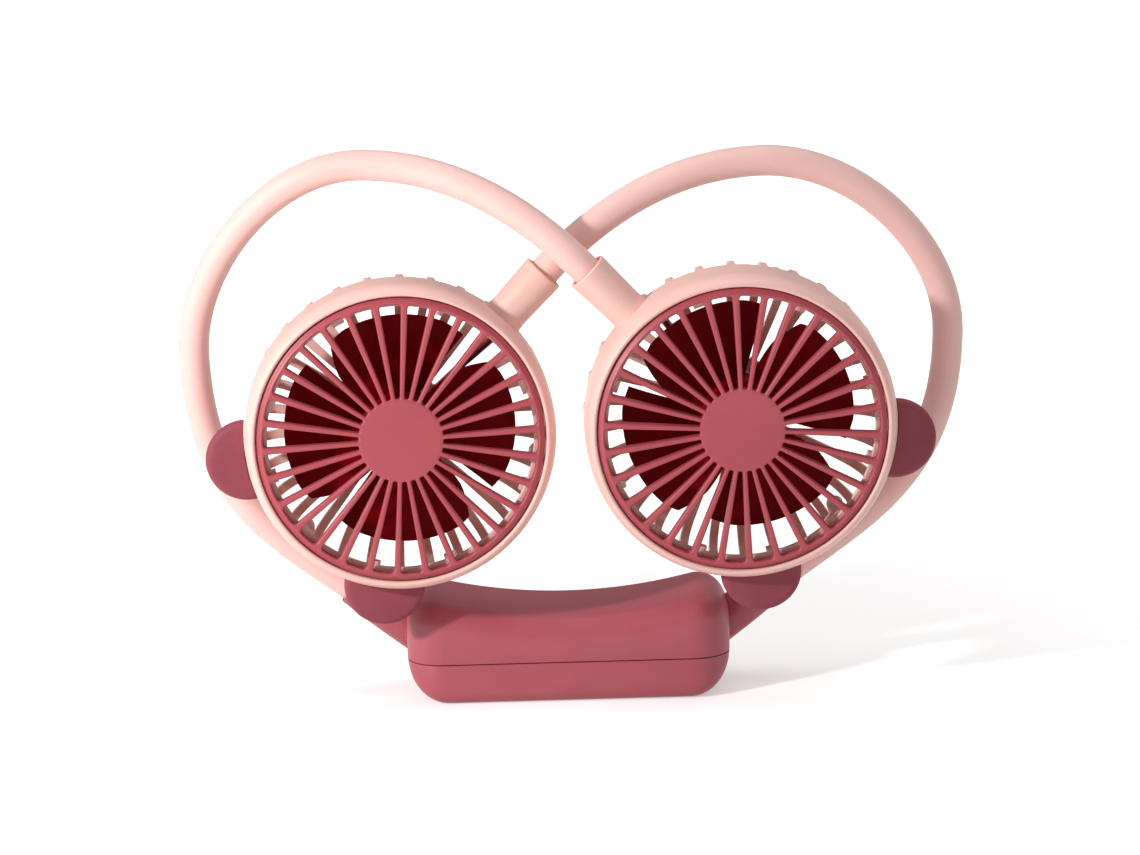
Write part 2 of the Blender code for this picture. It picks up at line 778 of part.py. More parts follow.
def makeCage(name, head, screw_places):
    layers = []
    pitch = math.tau / spoke_count
    start = cage_front - cage_ring_height
    for thickness in (0, rib_thickness):
        radius = head_radius - thickness
        outer_half = rib_width / 2
        rails = [(radius, start, outer_half)]
        rails += [(r, z, outer_half) for r, z in cageSurface(thickness)]
        rails.append((cage_disc_radius + slot_corner, -head_back + thickness, rib_root_width / 2))
        layers.append(([(radius, cage_front)], rails))
    cage = addPiece(name, slottedShell(layers, spoke_count, math.pi / 2 + pitch / 2), head, pale_pink)
    bosses = bmesh.new()
    cuts = bmesh.new()
    skin = bossSkin()
    for x, y in screw_places:
        place = Matrix.Translation((x, y, 0))
        turn(bosses, [(boss_radius, skin), (boss_radius, cage_front)], post_sides, place)
        well = screw_head_radius + fit_gap
        hole = screw_radius + fit_gap
        profile = [
            (well, -head_back - cut_overrun),
            (well, cage_front - boss_height),
            (hole, cage_front - boss_height),
            (hole, cage_front + cut_overrun),
        ]
        turn(cuts, profile, post_sides, place)
    shape(cage, addTool(name + "_bosses", bosses, head), "UNION")
    ends = [
        (collar_radius + fit_gap, head_radius - rib_thickness - cut_overrun * 2),
        (collar_radius + fit_gap, head_radius + cut_overrun),
    ]
    turn(cuts, ends, collar_sides, alongAxis(Vector((0, 0, 0)), Vector((0, 1, 0))))
    shape(cage, addTool(name + "_cuts", cuts, head), "DIFFERENCE")


def bossSkin():
    """Height at which a boss meets the cage's rounded back."""
    over = cage_corner_radius - boss_set_in + boss_radius
    drop = math.sqrt(max(0.0, cage_corner_radius ** 2 - over ** 2))
    return -head_back + cage_corner_radius - drop


def makeScrews(name, head, screw_places):
    seat = cage_front - boss_height - fit_gap
    for number, (x, y) in enumerate(screw_places, 1):
        bm = bmesh.new()
        profile = [
            (screw_head_radius * screw_crown_share, seat - screw_head_height),
            (screw_head_radius, seat - screw_head_height * screw_side_share),
            (screw_head_radius, seat),
            (screw_radius, seat),
            (screw_radius, screw_depth - fit_gap * 2),
        ]
        turn(bm, profile, post_sides, Matrix.Translation((x, y, 0)))
        addPiece(f"{name}_{number}", bm, head, steel, 0.3, 1.0)


def roundEdge(radius, height, rounding, way):
    """A quarter round from a flat face at a height out to a side; way is 1 on a top and -1 underneath."""
    points = []
    for k in range(round_steps + 1):
        angle = math.pi / 2 * k / round_steps
        out = radius - rounding + rounding * math.sin(angle)
        points.append((out, height - way * rounding * (1 - math.cos(angle))))
    return points


def makeEars(name, head, tag_angles):
    top = rim_height - ear_set_back
    low = top - ear_thickness
    for tag, angle in tag_angles:
        profile = roundEdge(ear_radius, low, ear_round, -1) + roundEdge(ear_radius, top, ear_round, 1)[::-1]
        bm = bmesh.new()
        place = Matrix.Rotation(-math.pi / 2 + angle, 4, "Z") @ Matrix.Translation((head_radius, 0, 0))
        turn(bm, profile, ear_sides, place)
        ear = addPiece(name + "_ear_" + tag, bm, head, dusty_rose)
        clear = bmesh.new()
        ends = [(head_radius + fit_gap, low - cut_overrun), (head_radius + fit_gap, top + cut_overrun)]
        turn(clear, ends, drum_sides)
        shape(ear, addTool(name + "_ear_cut_" + tag, clear, head), "DIFFERENCE")


def makeMotor(name, head):
    bm = bmesh.new()
    height = motor_seat + motor_height
    bearing = hub_ceiling - fit_gap * 2
    profile = [
        (motor_foot_radius, motor_seat),
        (motor_foot_radius, motor_seat + rib_thickness),
        (motor_radius, motor_seat + rib_thickness),
        (motor_radius, height - motor_edge),
        (motor_radius - motor_edge, height),
        (bearing_radius, height),
        (bearing_radius, bearing),
        (shaft_bore_radius, bearing),
        (shaft_bore_radius, shaft_start),
    ]
    turn(bm, profile, motor_sides)
    addPiece(name + "_motor", bm, head, steel, 0.35, 0.9)
    bm = bmesh.new()
    ends = [(shaft_radius, shaft_start + fit_gap), (shaft_radius, hub_ceiling - fit_gap)]
    turn(bm, ends, post_sides)
    addPiece(name + "_motor_shaft", bm, head, steel, 0.25, 1.0)


def makeImpeller(name, head, blade_turn):
    bm = bmesh.new()
    low = hub_front - hub_height
    inner = impeller_hub_radius - hub_wall
    profile = [(impeller_hub_radius, low)] + roundEdge(impeller_hub_radius, hub_front, hub_round, 1)[::-1]
    inside = [(inner, hub_ceiling), (inner, low)]
    rings = []
    for radius, height in profile:
        rings.append(ringAt(bm, radius, height, hub_sides))
    bm.faces.new(rings[-1])
    inside_rings = [ringAt(bm, radius, height, hub_sides) for radius, height in inside]
    for first, second in zip(rings, rings[1:]):
        bridge(bm, first, second)
    bridge(bm, inside_rings[0], inside_rings[1])
    bridge(bm, inside_rings[1], rings[0])
    bm.faces.new(inside_rings[0])
    impeller = addPiece(name, bm, head, burgundy, 0.35)
    blades = bmesh.new()
    for k in range(blade_count):
        addBlade(blades, blade_turn + math.tau * k / blade_count)
    shape(impeller, addTool(name + "_blades", blades, head), "UNION")


def ringAt(bm, radius, height, sides):
    ring = []
    for i in range(sides):
        angle = math.tau * i / sides
        ring.append(bm.verts.new((radius * math.cos(angle), radius * math.sin(angle), height)))
    return ring


def addBlade(bm, start):
    """A wide blade: a thin curved sheet that falls from its leading edge to its trailing edge."""
    across, along = blade_steps
    root = impeller_hub_radius - hub_wall / 2
    middle = hub_front - hub_height / 2
    grid = {}
    for i in range(across + 1):
        u = i / across * 2 - 1
        for j in range(along + 1):
            v = j / along
            radius = root + (impeller_radius - root) * v
            trim = 1 - tip_round_share * max(0.0, v - tip_round_start_share) * max(0.0, u) ** 4
            corner = max(0.0, abs(u) - tip_drop_start_share)
            radius = root + (radius - root) * (1 - tip_drop_share * v * corner)
            angle = start + blade_span / 2 * u * trim + blade_swirl * (1 - v)
            z = middle + blade_rise / 2 * u * (1 - blade_flat_share * v)
            for level in (0, 1):
                height = z + (level - 0.5) * blade_thickness
                grid[i, j, level] = bm.verts.new((radius * math.cos(angle), radius * math.sin(angle), height))
    for i in range(across):
        for j in range(along):
            for level in (0, 1):
                corners = [(i, j), (i + 1, j), (i + 1, j + 1), (i, j + 1)]
                bm.faces.new([grid[a, b, level] for a, b in corners])
    border = [(i, 0) for i in range(across)] + [(across, j) for j in range(along)]
    border += [(i, along) for i in range(across, 0, -1)] + [(0, j) for j in range(along, 0, -1)]
    for first, second in zip(border, border[1:] + border[:1]):
        bm.faces.new((grid[*first, 0], grid[*second, 0], grid[*second, 1], grid[*first, 1]))


def makeLead(name, head):
    """The motor's lead, from the ferrule along one rib to the motor's foot."""
    rib = math.pi / spoke_count
    corner = cage_corner_radius - rib_thickness - lead_radius - fit_gap * 2
    centre_radius = head_radius - cage_corner_radius
    centre_height = -head_back + cage_corner_radius
    collar_end = head_radius - drum_wall - cut_overrun
    entry = collar_end - lead_radius * 2
    path = [
        Vector((0, ferrule_start - fit_gap, 0)),
        Vector((0, entry + lead_radius, -fit_gap)),
    ]
    for count, share in enumerate(lead_turn_shares, 1):
        path.append(Vector((entry * math.sin(rib * share), entry, -collar_radius * count / len(lead_turn_shares))))
    for share in lead_bend_shares:
        angle = math.pi / 2 * share
        radius = centre_radius + corner * math.cos(angle)
        z = centre_height - corner * math.sin(angle)
        path.append(Vector((radius * math.sin(rib), radius * math.cos(rib), z)))
    end = motor_foot_radius + lead_radius + fit_gap
    for radius in ((centre_radius + end) / 2, end):
        path.append(Vector((radius * math.sin(rib), radius * math.cos(rib), centre_height - corner)))
    bm = bmesh.new()
    rings = [sweepRing(bm, frame, lead_radius, lead_sides) for frame in routeFrames(path)]
    for first, second in zip(rings, rings[1:]):
        bridge(bm, first, second)
    bm.faces.new(rings[0])
    bm.faces.new(rings[-1])
    addPiece(name, bm, head, (0.6, 0.02, 0.02), 0.4)


def makeFerrule(name, head, pivot):
    """Turned in the head's frame, because the collar turns on it, but it belongs to the arm."""
    lip_low = swivel_lip_reach - swivel_lip_thickness
    profile = [
        (ferrule_radius, ferrule_start),
        (ferrule_radius, lip_low - fit_gap),
        (ferrule_neck_radius, lip_low - fit_gap),
        (ferrule_neck_radius, swivel_lip_reach + fit_gap),
        (ferrule_radius, swivel_lip_reach + fit_gap),
        (ferrule_radius, cover_end - fit_gap),
    ]
    bm = bmesh.new()
    local = pivot.matrix_world.inverted() @ head.matrix_world
    turn(bm, profile, collar_sides, local @ alongAxis(Vector((0, 0, 0)), Vector((0, 1, 0))))
    addPiece(name, bm, pivot, bronze, 0.3, 1.0)


def headMatrix(side, lift, stand_off, lean, turned):
    across = side * (head_gap / 2 + head_radius) + heads_shift
    depth = arm_front - stand_off - head_back
    height = pack_crest + lift + head_radius
    collar = Vector((-side * math.cos(collar_angle), 0, math.sin(collar_angle)))
    outlet = Vector((0, -1, 0))
    basis = Matrix((collar.cross(outlet), collar, outlet)).transposed().to_4x4()
    tilt = Matrix.Rotation(turned, 4, "Z") @ Matrix.Rotation(lean, 4, "X")
    return Matrix.Translation((across, depth, height)) @ tilt @ basis


def makeHead(name, head, handed, spoke_turn, blade_turn):
    places = []
    for share in screw_turn_shares:
        angle = math.pi / 2 + math.tau * share
        places.append((screw_reach * math.cos(angle), screw_reach * math.sin(angle)))
    makeGrille(name + "_front_grille", head, math.pi / 2 + spoke_turn)
    makeHousing(name + "_front_housing", head, places)
    makeCage(name + "_rear_cage", head, places)
    makeScrews(name + "_cage_screw", head, places)
    makeEars(name, head, (("outer", -handed * ear_angle), ("lower", handed * ear_angle)))
    makeMotor(name, head)
    makeImpeller(name + "_impeller", head, blade_turn)
    makeLead(name + "_motor_lead", head)


def main():
    clearScene()
    makePack()
    board_back = makePackInside()
    makeControls(board_back)
    outer_form = addTool("pack_outer", packForm(fit_gap, *pack_steps), None)
    left_head = addFrame("left_head_frame", headMatrix(-1, left_head_lift, left_head_stand_off,
                                                      left_head_lean, left_head_turn))
    right_head = addFrame("right_head_frame", headMatrix(1, right_head_lift, right_head_stand_off,
                                                        right_head_lean, right_head_turn))
    left_pivot = addFrame("left_arm_pivot", Matrix.Translation(armRoot(-1)))
    right_pivot = addFrame("right_arm_pivot", Matrix.Translation(armRoot(1)))
    bpy.context.view_layer.update()
    makeSleeve("left_sleeve", -1, outer_form)
    makeSleeve("right_sleeve", 1, outer_form)
    left_route = armRoute(-1, left_loop_reach, left_loop_height, left_top_height, left_top_side,
                          right_head.matrix_world)
    right_route = armRoute(1, right_loop_reach, right_loop_height, right_top_height, right_top_side,
                           left_head.matrix_world)
    makeArm("left_arm", left_route, left_pivot)
    makeArm("right_arm", right_route, right_pivot)
    makeFerrule("left_arm_ferrule", right_head, left_pivot)
    makeFerrule("right_arm_ferrule", left_head, right_pivot)
    makeHead("left_head", left_head, 1, left_spoke_turn, left_blade_turn)
    makeHead("right_head", right_head, -1, right_spoke_turn, right_blade_turn)


main()
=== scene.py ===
# Looks for a hands-free neck fan that stands on its pack, its two bendable arms crossed into a heart.
# Metres, +Z up. The heads blow towards -Y, and left and right are as seen from the front.

import bpy
import bmesh
import json
import math
from mathutils import Matrix, Vector


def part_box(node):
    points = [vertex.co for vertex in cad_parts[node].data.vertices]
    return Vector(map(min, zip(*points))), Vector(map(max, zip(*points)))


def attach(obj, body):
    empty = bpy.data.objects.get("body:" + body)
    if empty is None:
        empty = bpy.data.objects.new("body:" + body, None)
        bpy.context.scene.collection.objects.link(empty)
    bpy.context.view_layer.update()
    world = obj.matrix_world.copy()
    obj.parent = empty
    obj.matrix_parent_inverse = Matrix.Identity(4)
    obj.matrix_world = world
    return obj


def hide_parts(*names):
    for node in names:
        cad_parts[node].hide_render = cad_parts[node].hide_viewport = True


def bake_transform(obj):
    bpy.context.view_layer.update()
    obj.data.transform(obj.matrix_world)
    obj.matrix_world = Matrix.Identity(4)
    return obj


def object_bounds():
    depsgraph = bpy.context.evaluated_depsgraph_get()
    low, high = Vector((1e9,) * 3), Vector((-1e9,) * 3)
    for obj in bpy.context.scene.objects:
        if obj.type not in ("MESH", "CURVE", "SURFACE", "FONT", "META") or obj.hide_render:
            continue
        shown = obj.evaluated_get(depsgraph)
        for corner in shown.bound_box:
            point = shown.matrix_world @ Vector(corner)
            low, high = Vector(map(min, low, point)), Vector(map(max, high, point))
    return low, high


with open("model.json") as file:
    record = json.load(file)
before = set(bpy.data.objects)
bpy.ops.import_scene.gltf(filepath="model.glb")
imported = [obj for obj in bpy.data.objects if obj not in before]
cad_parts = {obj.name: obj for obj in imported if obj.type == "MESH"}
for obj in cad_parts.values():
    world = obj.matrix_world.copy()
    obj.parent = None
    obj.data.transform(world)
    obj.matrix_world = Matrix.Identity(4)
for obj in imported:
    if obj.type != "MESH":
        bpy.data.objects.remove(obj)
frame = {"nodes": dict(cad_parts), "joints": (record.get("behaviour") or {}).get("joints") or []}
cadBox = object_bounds()
joints = {joint["name"]: joint for joint in frame["joints"]}
sideSigns = {"left": -1, "right": 1}
mm = 0.001
print("frame loaded:", len(frame["nodes"]), "nodes")


# Small tools

def hexColour(text):
    # sRGB hex to the linear values that shaders want
    channels = [int(text[i:i + 2], 16) / 255 for i in (1, 3, 5)]
    linear = [c / 12.92 if c <= 0.04045 else ((c + 0.055) / 1.055) ** 2.4 for c in channels]
    return (*linear, 1)


def addNode(tree, kind, settings=None, links=None):
    node = tree.nodes.new("ShaderNode" + kind)
    for key, value in (settings or {}).items():
        if isinstance(key, int) or key in node.inputs:
            node.inputs[key].default_value = value
        else:
            setattr(node, key, value)
    for key, socket in (links or {}).items():
        tree.links.new(socket, node.inputs[key])
    return node


def clearedTree(owner):
    owner.use_nodes = True
    owner.node_tree.nodes.clear()
    return owner.node_tree


def startMaterial(name, settings):
    material = bpy.data.materials.new(name)
    tree = clearedTree(material)
    shader = addNode(tree, "BsdfPrincipled", settings)
    addNode(tree, "OutputMaterial", links={"Surface": shader.outputs["BSDF"]})
    place = addNode(tree, "TexCoord").outputs["Object"]
    return material, tree, shader, place


def addTint(tree, shader, place, colours, patch):
    # two near shades of the same batch, in soft patches
    drift = addNode(tree, "TexNoise", {"Scale": 1 / patch, "Detail": 3.0, "Roughness": 0.55},
                    {"Vector": place})
    spread = addNode(tree, "MapRange", {"From Min": 0.35, "From Max": 0.65}, {"Value": drift.outputs["Fac"]})
    shade = addNode(tree, "Mix", {"data_type": "RGBA", 6: hexColour(colours[0]), 7: hexColour(colours[1])},
                    {0: spread.outputs["Result"]})
    tree.links.new(shade.outputs[2], shader.inputs["Base Color"])


def addRelief(tree, shader, height, depth):
    bump = addNode(tree, "Bump", {"Strength": 1.0, "Distance": depth}, {"Height": height})
    tree.links.new(bump.outputs["Normal"], shader.inputs["Normal"])


def grainedMaterial(name, colours, patch, size, depth, rough, settings):
    # tinted, with a fine even grain in the relief and a little of it in the gloss; the sizes are real ones
    material, tree, shader, place = startMaterial(name, settings)
    addTint(tree, shader, place, colours, patch)
    grain = addNode(tree, "TexNoise", {"Scale": 1 / size, "Detail": 2.0, "Roughness": 0.6}, {"Vector": place})
    gloss = addNode(tree, "MapRange", {"To Min": rough[0], "To Max": rough[1]},
                    {"Value": grain.outputs["Fac"]})
    tree.links.new(gloss.outputs["Result"], shader.inputs["Roughness"])
    addRelief(tree, shader, grain.outputs["Fac"], depth)
    return material


# Materials, each from what the real one is

warmGlow = (1.0, 0.35, 0.25)    # red light gets furthest inside the pale pink and rose pieces


def mouldedAbs(name, colours, rough, glow):
    # ABS from a spark-eroded mould: satin, an even grain of about 0.1 mm, drawn at 0.45 mm so that it shows;
    # glow is how much light gets about inside, more in the pale colour, where shade turns warm
    return grainedMaterial(name, colours, 22 * mm, 0.45 * mm, 0.012 * mm, rough,
                           {"IOR": 1.53, "Subsurface Weight": glow, "Subsurface Scale": 2.0 * mm,
                            "Subsurface Radius": warmGlow})


def softSilicone(name, colours):
    # extruded silicone over the gooseneck: matt, slightly waxy, with a faint dusting of lint and die lines
    return grainedMaterial(name, colours, 30 * mm, 0.7 * mm, 0.014 * mm, (0.46, 0.58),
                           {"IOR": 1.41, "Subsurface Weight": 0.4, "Subsurface Scale": 4.0 * mm,
                            "Subsurface Radius": warmGlow, "Sheen Weight": 0.12, "Sheen Roughness": 0.5})


def mattRubber(name, colours):
    # the bumpers: thermoplastic rubber from a blasted mould, quite matt and a shade duller than the case
    return grainedMaterial(name, colours, 10 * mm, 0.5 * mm, 0.016 * mm, (0.60, 0.70),
                           {"IOR": 1.45, "Specular IOR Level": 0.3, "Subsurface Weight": 0.03,
                            "Subsurface Scale": 0.5 * mm})


def tintedPolycarbonate(name, colours):
    # injection moulded polycarbonate: deep red, eased gloss, lets a little light through its thin blades
    return grainedMaterial(name, colours, 14 * mm, 2.4 * mm, 0.004 * mm, (0.34, 0.44),
                           {"IOR": 1.585, "Specular IOR Level": 0.04, "Subsurface Weight": 0.3,
                            "Subsurface Scale": 1.5 * mm, "Subsurface Radius": (1.0, 0.08, 0.06)})


def workedMetal(name, colours, rough):
    # plated steel or bare bronze, turned or drawn: bright, with fine rings left by the tool
    return grainedMaterial(name, colours, 6 * mm, 0.35 * mm, 0.006 * mm, rough, {"Metallic": 1.0})


def woundSteel(name, colours):
    # the gooseneck: round wire wound tight at a 0.9 mm pitch, so it reads as close ridges
    material, tree, shader, place = startMaterial(name, {"Metallic": 1.0, "Roughness": 0.34})
    addTint(tree, shader, place, colours, 5 * mm)
    ridges = addNode(tree, "TexWave", {"wave_type": "BANDS", "bands_direction": "Z",
                                       "Scale": 1 / (0.9 * mm) / 6, "Distortion": 0.4}, {"Vector": place})
    addRelief(tree, shader, ridges.outputs["Fac"], 0.2 * mm)
    return material


def solderMask(name, colours):
    # glass-epoxy board under green mask: tracks show as raised lines about 0.5 mm apart
    material, tree, shader, place = startMaterial(name, {"IOR": 1.5, "Roughness": 0.35, "Coat Weight": 0.4,
                                                         "Coat Roughness": 0.2})
    tracks = addNode(tree, "TexBrick", {"Scale": 1 / (4 * mm), "Mortar Size": 0.05, "Brick Width": 0.9,
                                        "Row Height": 0.22, "Color1": hexColour(colours[0]),
                                        "Color2": hexColour(colours[0]), "Mortar": hexColour(colours[1])},
                     {"Vector": place})
    tree.links.new(tracks.outputs["Color"], shader.inputs["Base Color"])
    addRelief(tree, shader, tracks.outputs["Fac"], 0.04 * mm)
    return material


def foilWrap(name, colours):
    # the cell's heat-shrunk film over foil: glossy, with shallow wrinkles a few millimetres apart
    return grainedMaterial(name, colours, 9 * mm, 3.0 * mm, 0.10 * mm, (0.28, 0.42),
                           {"Metallic": 0.6, "Coat Weight": 0.6, "Coat Roughness": 0.15})


def frostedLight(name, colours):
    # acrylic light guide, frosted in the mould: milky, with a soft gloss
    return grainedMaterial(name, colours, 2 * mm, 0.3 * mm, 0.006 * mm, (0.30, 0.45),
                           {"IOR": 1.49, "Subsurface Weight": 0.5, "Subsurface Scale": 1.0 * mm})


def wireJacket(name, colours):
    # extruded PVC on the motor's wires: plain colour, half gloss
    return grainedMaterial(name, colours, 3 * mm, 0.5 * mm, 0.008 * mm, (0.34, 0.46), {"IOR": 1.52})


finishes = {
    "rose": mouldedAbs("Dusty rose ABS, moulded", ("#B2545E", "#AD505A"), (0.40, 0.50), 0.02),
    # painted shade: the case's rose with less green and blue, a shaded copy that stands in for the grille's
    # lower sheen and light
    "grille": mouldedAbs("Dusty rose ABS, shaded copy", ("#B14951", "#AC454D"), (0.40, 0.50), 0.02),
    "bumper": mattRubber("Dusty rose rubber, moulded", ("#924651", "#8D424D")),
    "pink": mouldedAbs("Pale pink ABS, moulded", ("#F4C6BB", "#F1C1B5"), (0.38, 0.48), 0.25),
    "silicone": softSilicone("Pale pink silicone, extruded", ("#F6CCC4", "#F3C6BD")),
    "burgundy": tintedPolycarbonate("Burgundy polycarbonate, moulded", ("#820009", "#740007")),
    "nickel": workedMetal("Nickel plated steel, turned", ("#C9C7C6", "#BDBBBA"), (0.24, 0.36)),
    "can": workedMetal("Zinc plated steel, drawn", ("#B9BABD", "#A9ABAF"), (0.32, 0.46)),
    "bronze": workedMetal("Bronze, turned", ("#B0906A", "#A2835E"), (0.26, 0.38)),
    "wound": woundSteel("Gooseneck steel, wound", ("#A8A8AC", "#98989D")),
    "board": solderMask("Circuit board, solder mask", ("#1C5B34", "#C9A24A")),
    "foil": foilWrap("Cell wrap, shrunk film", ("#39588C", "#304C7C")),
    "lens": frostedLight("Acrylic light guide, frosted", ("#F1EFEA", "#E8E6E1")),
    "redWire": wireJacket("PVC wire, red", ("#B01F22", "#A3191C")),
    "blackWire": wireJacket("PVC wire, black", ("#1E1D1F", "#262427")),
}
print("materials made:", len(finishes))


# Mesh tools

def addObject(name, data):
    thing = bpy.data.objects.new(name, data)
    bpy.context.scene.collection.objects.link(thing)
    return thing


def newPiece(name, bm):
    bmesh.ops.recalc_face_normals(bm, faces=bm.faces)
    mesh = bpy.data.meshes.new(name)
    bm.to_mesh(mesh)
    bm.free()
    return addObject(name, mesh)


def coat(piece, finish):
    piece.data.materials.clear()
    piece.data.materials.append(finishes[finish])


def settle(piece, finish, body, node, sharp=38):
    # looks, the body it moves with (none for a piece left unattached), the solid it stands for, and its colour
    # slot
    coat(piece, finish)
    piece.data.shade_smooth()
    piece.data.set_sharp_from_angle(angle=math.radians(sharp))
    if body:
        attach(piece, body)
    if node:
        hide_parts(node)


def applyModifiers(piece):
    bpy.context.view_layer.update()
    shaped = bpy.data.meshes.new_from_object(piece.evaluated_get(bpy.context.evaluated_depsgraph_get()))
    piece.modifiers.clear()
    old = piece.data
    piece.data = shaped
    bpy.data.meshes.remove(old)


def carve(piece, operation, *forms):
    # booleans with throwaway tools, each a bmesh
    tools = []
    for number, bm in enumerate(forms):
        tool = newPiece("tool", bm)
        step = piece.modifiers.new(f"cut {number}", "BOOLEAN")
        step.operation = operation
        step.solver = "EXACT"
        step.object = tool
        tools.append(tool)
    applyModifiers(piece)
    for tool in tools:
        bpy.data.objects.remove(tool, do_unlink=True)


def polar(radius, angle, height):
    return Vector((radius * math.cos(angle), radius * math.sin(angle), height))


def arc(centre, radius, start, end, steps, height=None):
    # points of a round corner, angles in degrees; with a height it is part of an ellipse
    turns = [math.radians(start + (end - start) * k / steps) for k in range(steps + 1)]
    return [(centre[0] + radius * math.cos(a), centre[1] + (height or radius) * math.sin(a)) for a in turns]


def bridge(bm, first, second):
    count = len(first)
    for i in range(count):
        j = (i + 1) % count
        bm.faces.new((first[i], first[j], second[j], second[i]))


def coverRings(bm, rings, closed=False):
    # a skin over rings, capped at both ends unless it closes on itself
    for first, second in zip(rings, rings[1:]):
        bridge(bm, first, second)
    if closed:
        bridge(bm, rings[-1], rings[0])
    else:
        bm.faces.new(rings[0])
        bm.faces.new(rings[-1])
    return bm


def lathe(profile, segments, matrix, closed=False):
    # turns (radius, height) points about Z
    bm = bmesh.new()
    turns = [math.tau * i / segments for i in range(segments)]
    rings = [[bm.verts.new(matrix @ polar(radius, turn, height)) for turn in turns]
             for radius, height in profile]
    return coverRings(bm, rings, closed)


def pin(radius, low, high, segments, matrix):
    return lathe([(radius, low), (radius, high)], segments, matrix)


def alongAxis(place, way):
    return Matrix.Translation(place) @ Vector(way).to_track_quat("Z", "Y").to_matrix().to_4x4()


def block(size, middle, matrix):
    bm = bmesh.new()
    for vert in bmesh.ops.create_cube(bm, size=1.0)["verts"]:
        spot = Vector((vert.co.x * size[0], vert.co.y * size[1], vert.co.z * size[2])) + Vector(middle)
        vert.co = matrix @ spot
    return bm


def tube(points, radii, segments):
    # a round bar along points, with flat ends
    bm = bmesh.new()
    rings = []
    side = None
    for i, (point, radius) in enumerate(zip(points, radii)):
        way = (points[min(i + 1, len(points) - 1)] - points[max(i - 1, 0)]).normalized()
        side = side or way.orthogonal().normalized()
        side = (side - way * side.dot(way)).normalized()
        other = way.cross(side)
        ring = []
        for k in range(segments):
            angle = math.tau * k / segments
            ring.append(bm.verts.new(point + (side * math.cos(angle) + other * math.sin(angle)) * radius))
        rings.append(ring)
    return coverRings(bm, rings)


def headFrame(side):
    # origin on the collar's axis in the middle of the head, Y up the collar, Z the way the air leaves
    swivel = joints[side + "_head_swivel"]
    y = Vector(swivel["axis"]).normalized()
    z = Vector(joints[side + "_impeller_spin"]["axis"]).normalized()
    turned = Matrix((y.cross(z), y, z)).transposed().to_4x4()
    return Matrix.Translation(Vector(swivel["pos_m"])) @ turned


heads = {side: headFrame(side) for side in sideSigns}
carriers = {"left": "right", "right": "left"}   # the left head hangs on the right arm, and the other way round


def collarAxis(side):
    # a head's frame turned so that Z runs up its collar
    return heads[side] @ alongAxis((0, 0, 0), (0, 1, 0))


# Slotted shells: the front grille and the ribbed back

def roundedEdge(size, steps):
    # down a quarter-round edge: how far in from the side, and how deep below the face
    angles = [math.radians(90 / steps * k) for k in range(steps + 1)]
    return [(size * (1 - math.sin(a)), size * (1 - math.cos(a))) for a in angles]


def slottedShell(layers, count, phase, across, matrix):
    # each layer: outerRows (radius, height), rails (radius, height, half width) along a spoke from its
    # outer end inwards, hubRows (radius, height); the first layer faces out; across: extra columns per slot
    bm = bmesh.new()
    pitch = math.tau / count
    stride = across + 2
    made = []

    def addRow(radius, height, spread, columns):
        # two columns on each spoke, then the given number across the slot
        row = []
        for k in range(count):
            middle = phase + pitch * k
            angles = [middle - spread, middle + spread]
            for j in range(1, columns + 1):
                angles.append(middle + spread + (pitch - 2 * spread) * j / (columns + 1))
            row += [bm.verts.new(matrix @ polar(radius, angle, height)) for angle in angles]
        return row

    for layer in layers:
        rim, root = layer["rails"][0], layer["rails"][-1]
        outerSpread = math.asin(rim[2] / rim[0])
        hubSpread = math.asin(root[2] / root[0])
        outer = [addRow(*row, outerSpread, across) for row in layer["outerRows"] + [rim[:2]]]
        hub = [addRow(*row, hubSpread, across) for row in [root[:2]] + layer["hubRows"]]
        rails = [[outer[-1][stride * k + s] for k in range(count) for s in (0, 1)]]
        for radius, height, half in layer["rails"][1:-1]:
            rails.append(addRow(radius, height, math.asin(half / radius), 0))
        rails.append([hub[0][stride * k + s] for k in range(count) for s in (0, 1)])
        made.append((outer, rails, hub))
    for outer, rails, hub in (made[0], made[-1]):
        for rows in (outer, hub):
            for first, second in zip(rows, rows[1:]):
                bridge(bm, first, second)
        for first, second in zip(rails, rails[1:]):
            for k in range(count):
                bm.faces.new((first[2 * k], first[2 * k + 1], second[2 * k + 1], second[2 * k]))
        bm.faces.new(hub[-1])
    for (outerA, railsA, hubA), (outerB, railsB, hubB) in zip(made, made[1:]):
        bridge(bm, outerA[0], outerB[0])
        for rowA, rowB in ((outerA[-1], outerB[-1]), (hubA[0], hubB[0])):
            for k in range(count):
                edge = [stride * k + j for j in range(1, stride)] + [(stride * (k + 1)) % (stride * count)]
                for a, b in zip(edge, edge[1:]):
                    bm.faces.new((rowA[a], rowA[b], rowB[b], rowB[a]))
        for j in range(len(railsA) - 1):
            for k in range(count * 2):
                bm.faces.new((railsA[j][k], railsA[j + 1][k], railsB[j + 1][k], railsB[j][k]))
    return bm


grille = {
    "radius": 36.9 * mm,
    "top": 12.7 * mm,           # front face, before the collar's axis
    "thickness": 2.2 * mm, "ringWidth": 1.8 * mm,
    "shoulder": 0.7 * mm,       # how far the ring falls back towards its rim
    "rimDepth": 1.0 * mm,       # how much deeper the rim is than the spokes, down to the ledge
    "hubRadius": 10.5 * mm, "outerWidth": 1.7 * mm, "innerWidth": 1.15 * mm,
    "corner": 1.0 * mm,         # rounding of the slots' outer corners
    "rootCorner": 0.35 * mm,
    "edge": 0.5 * mm,           # rounding along every front edge
    "coreShares": (0.93, 0.6, 0.3),     # rows of points on the hub's face
    "spokes": 30,
    "turn": {"left": math.radians(94.3), "right": math.radians(84.3)},
}


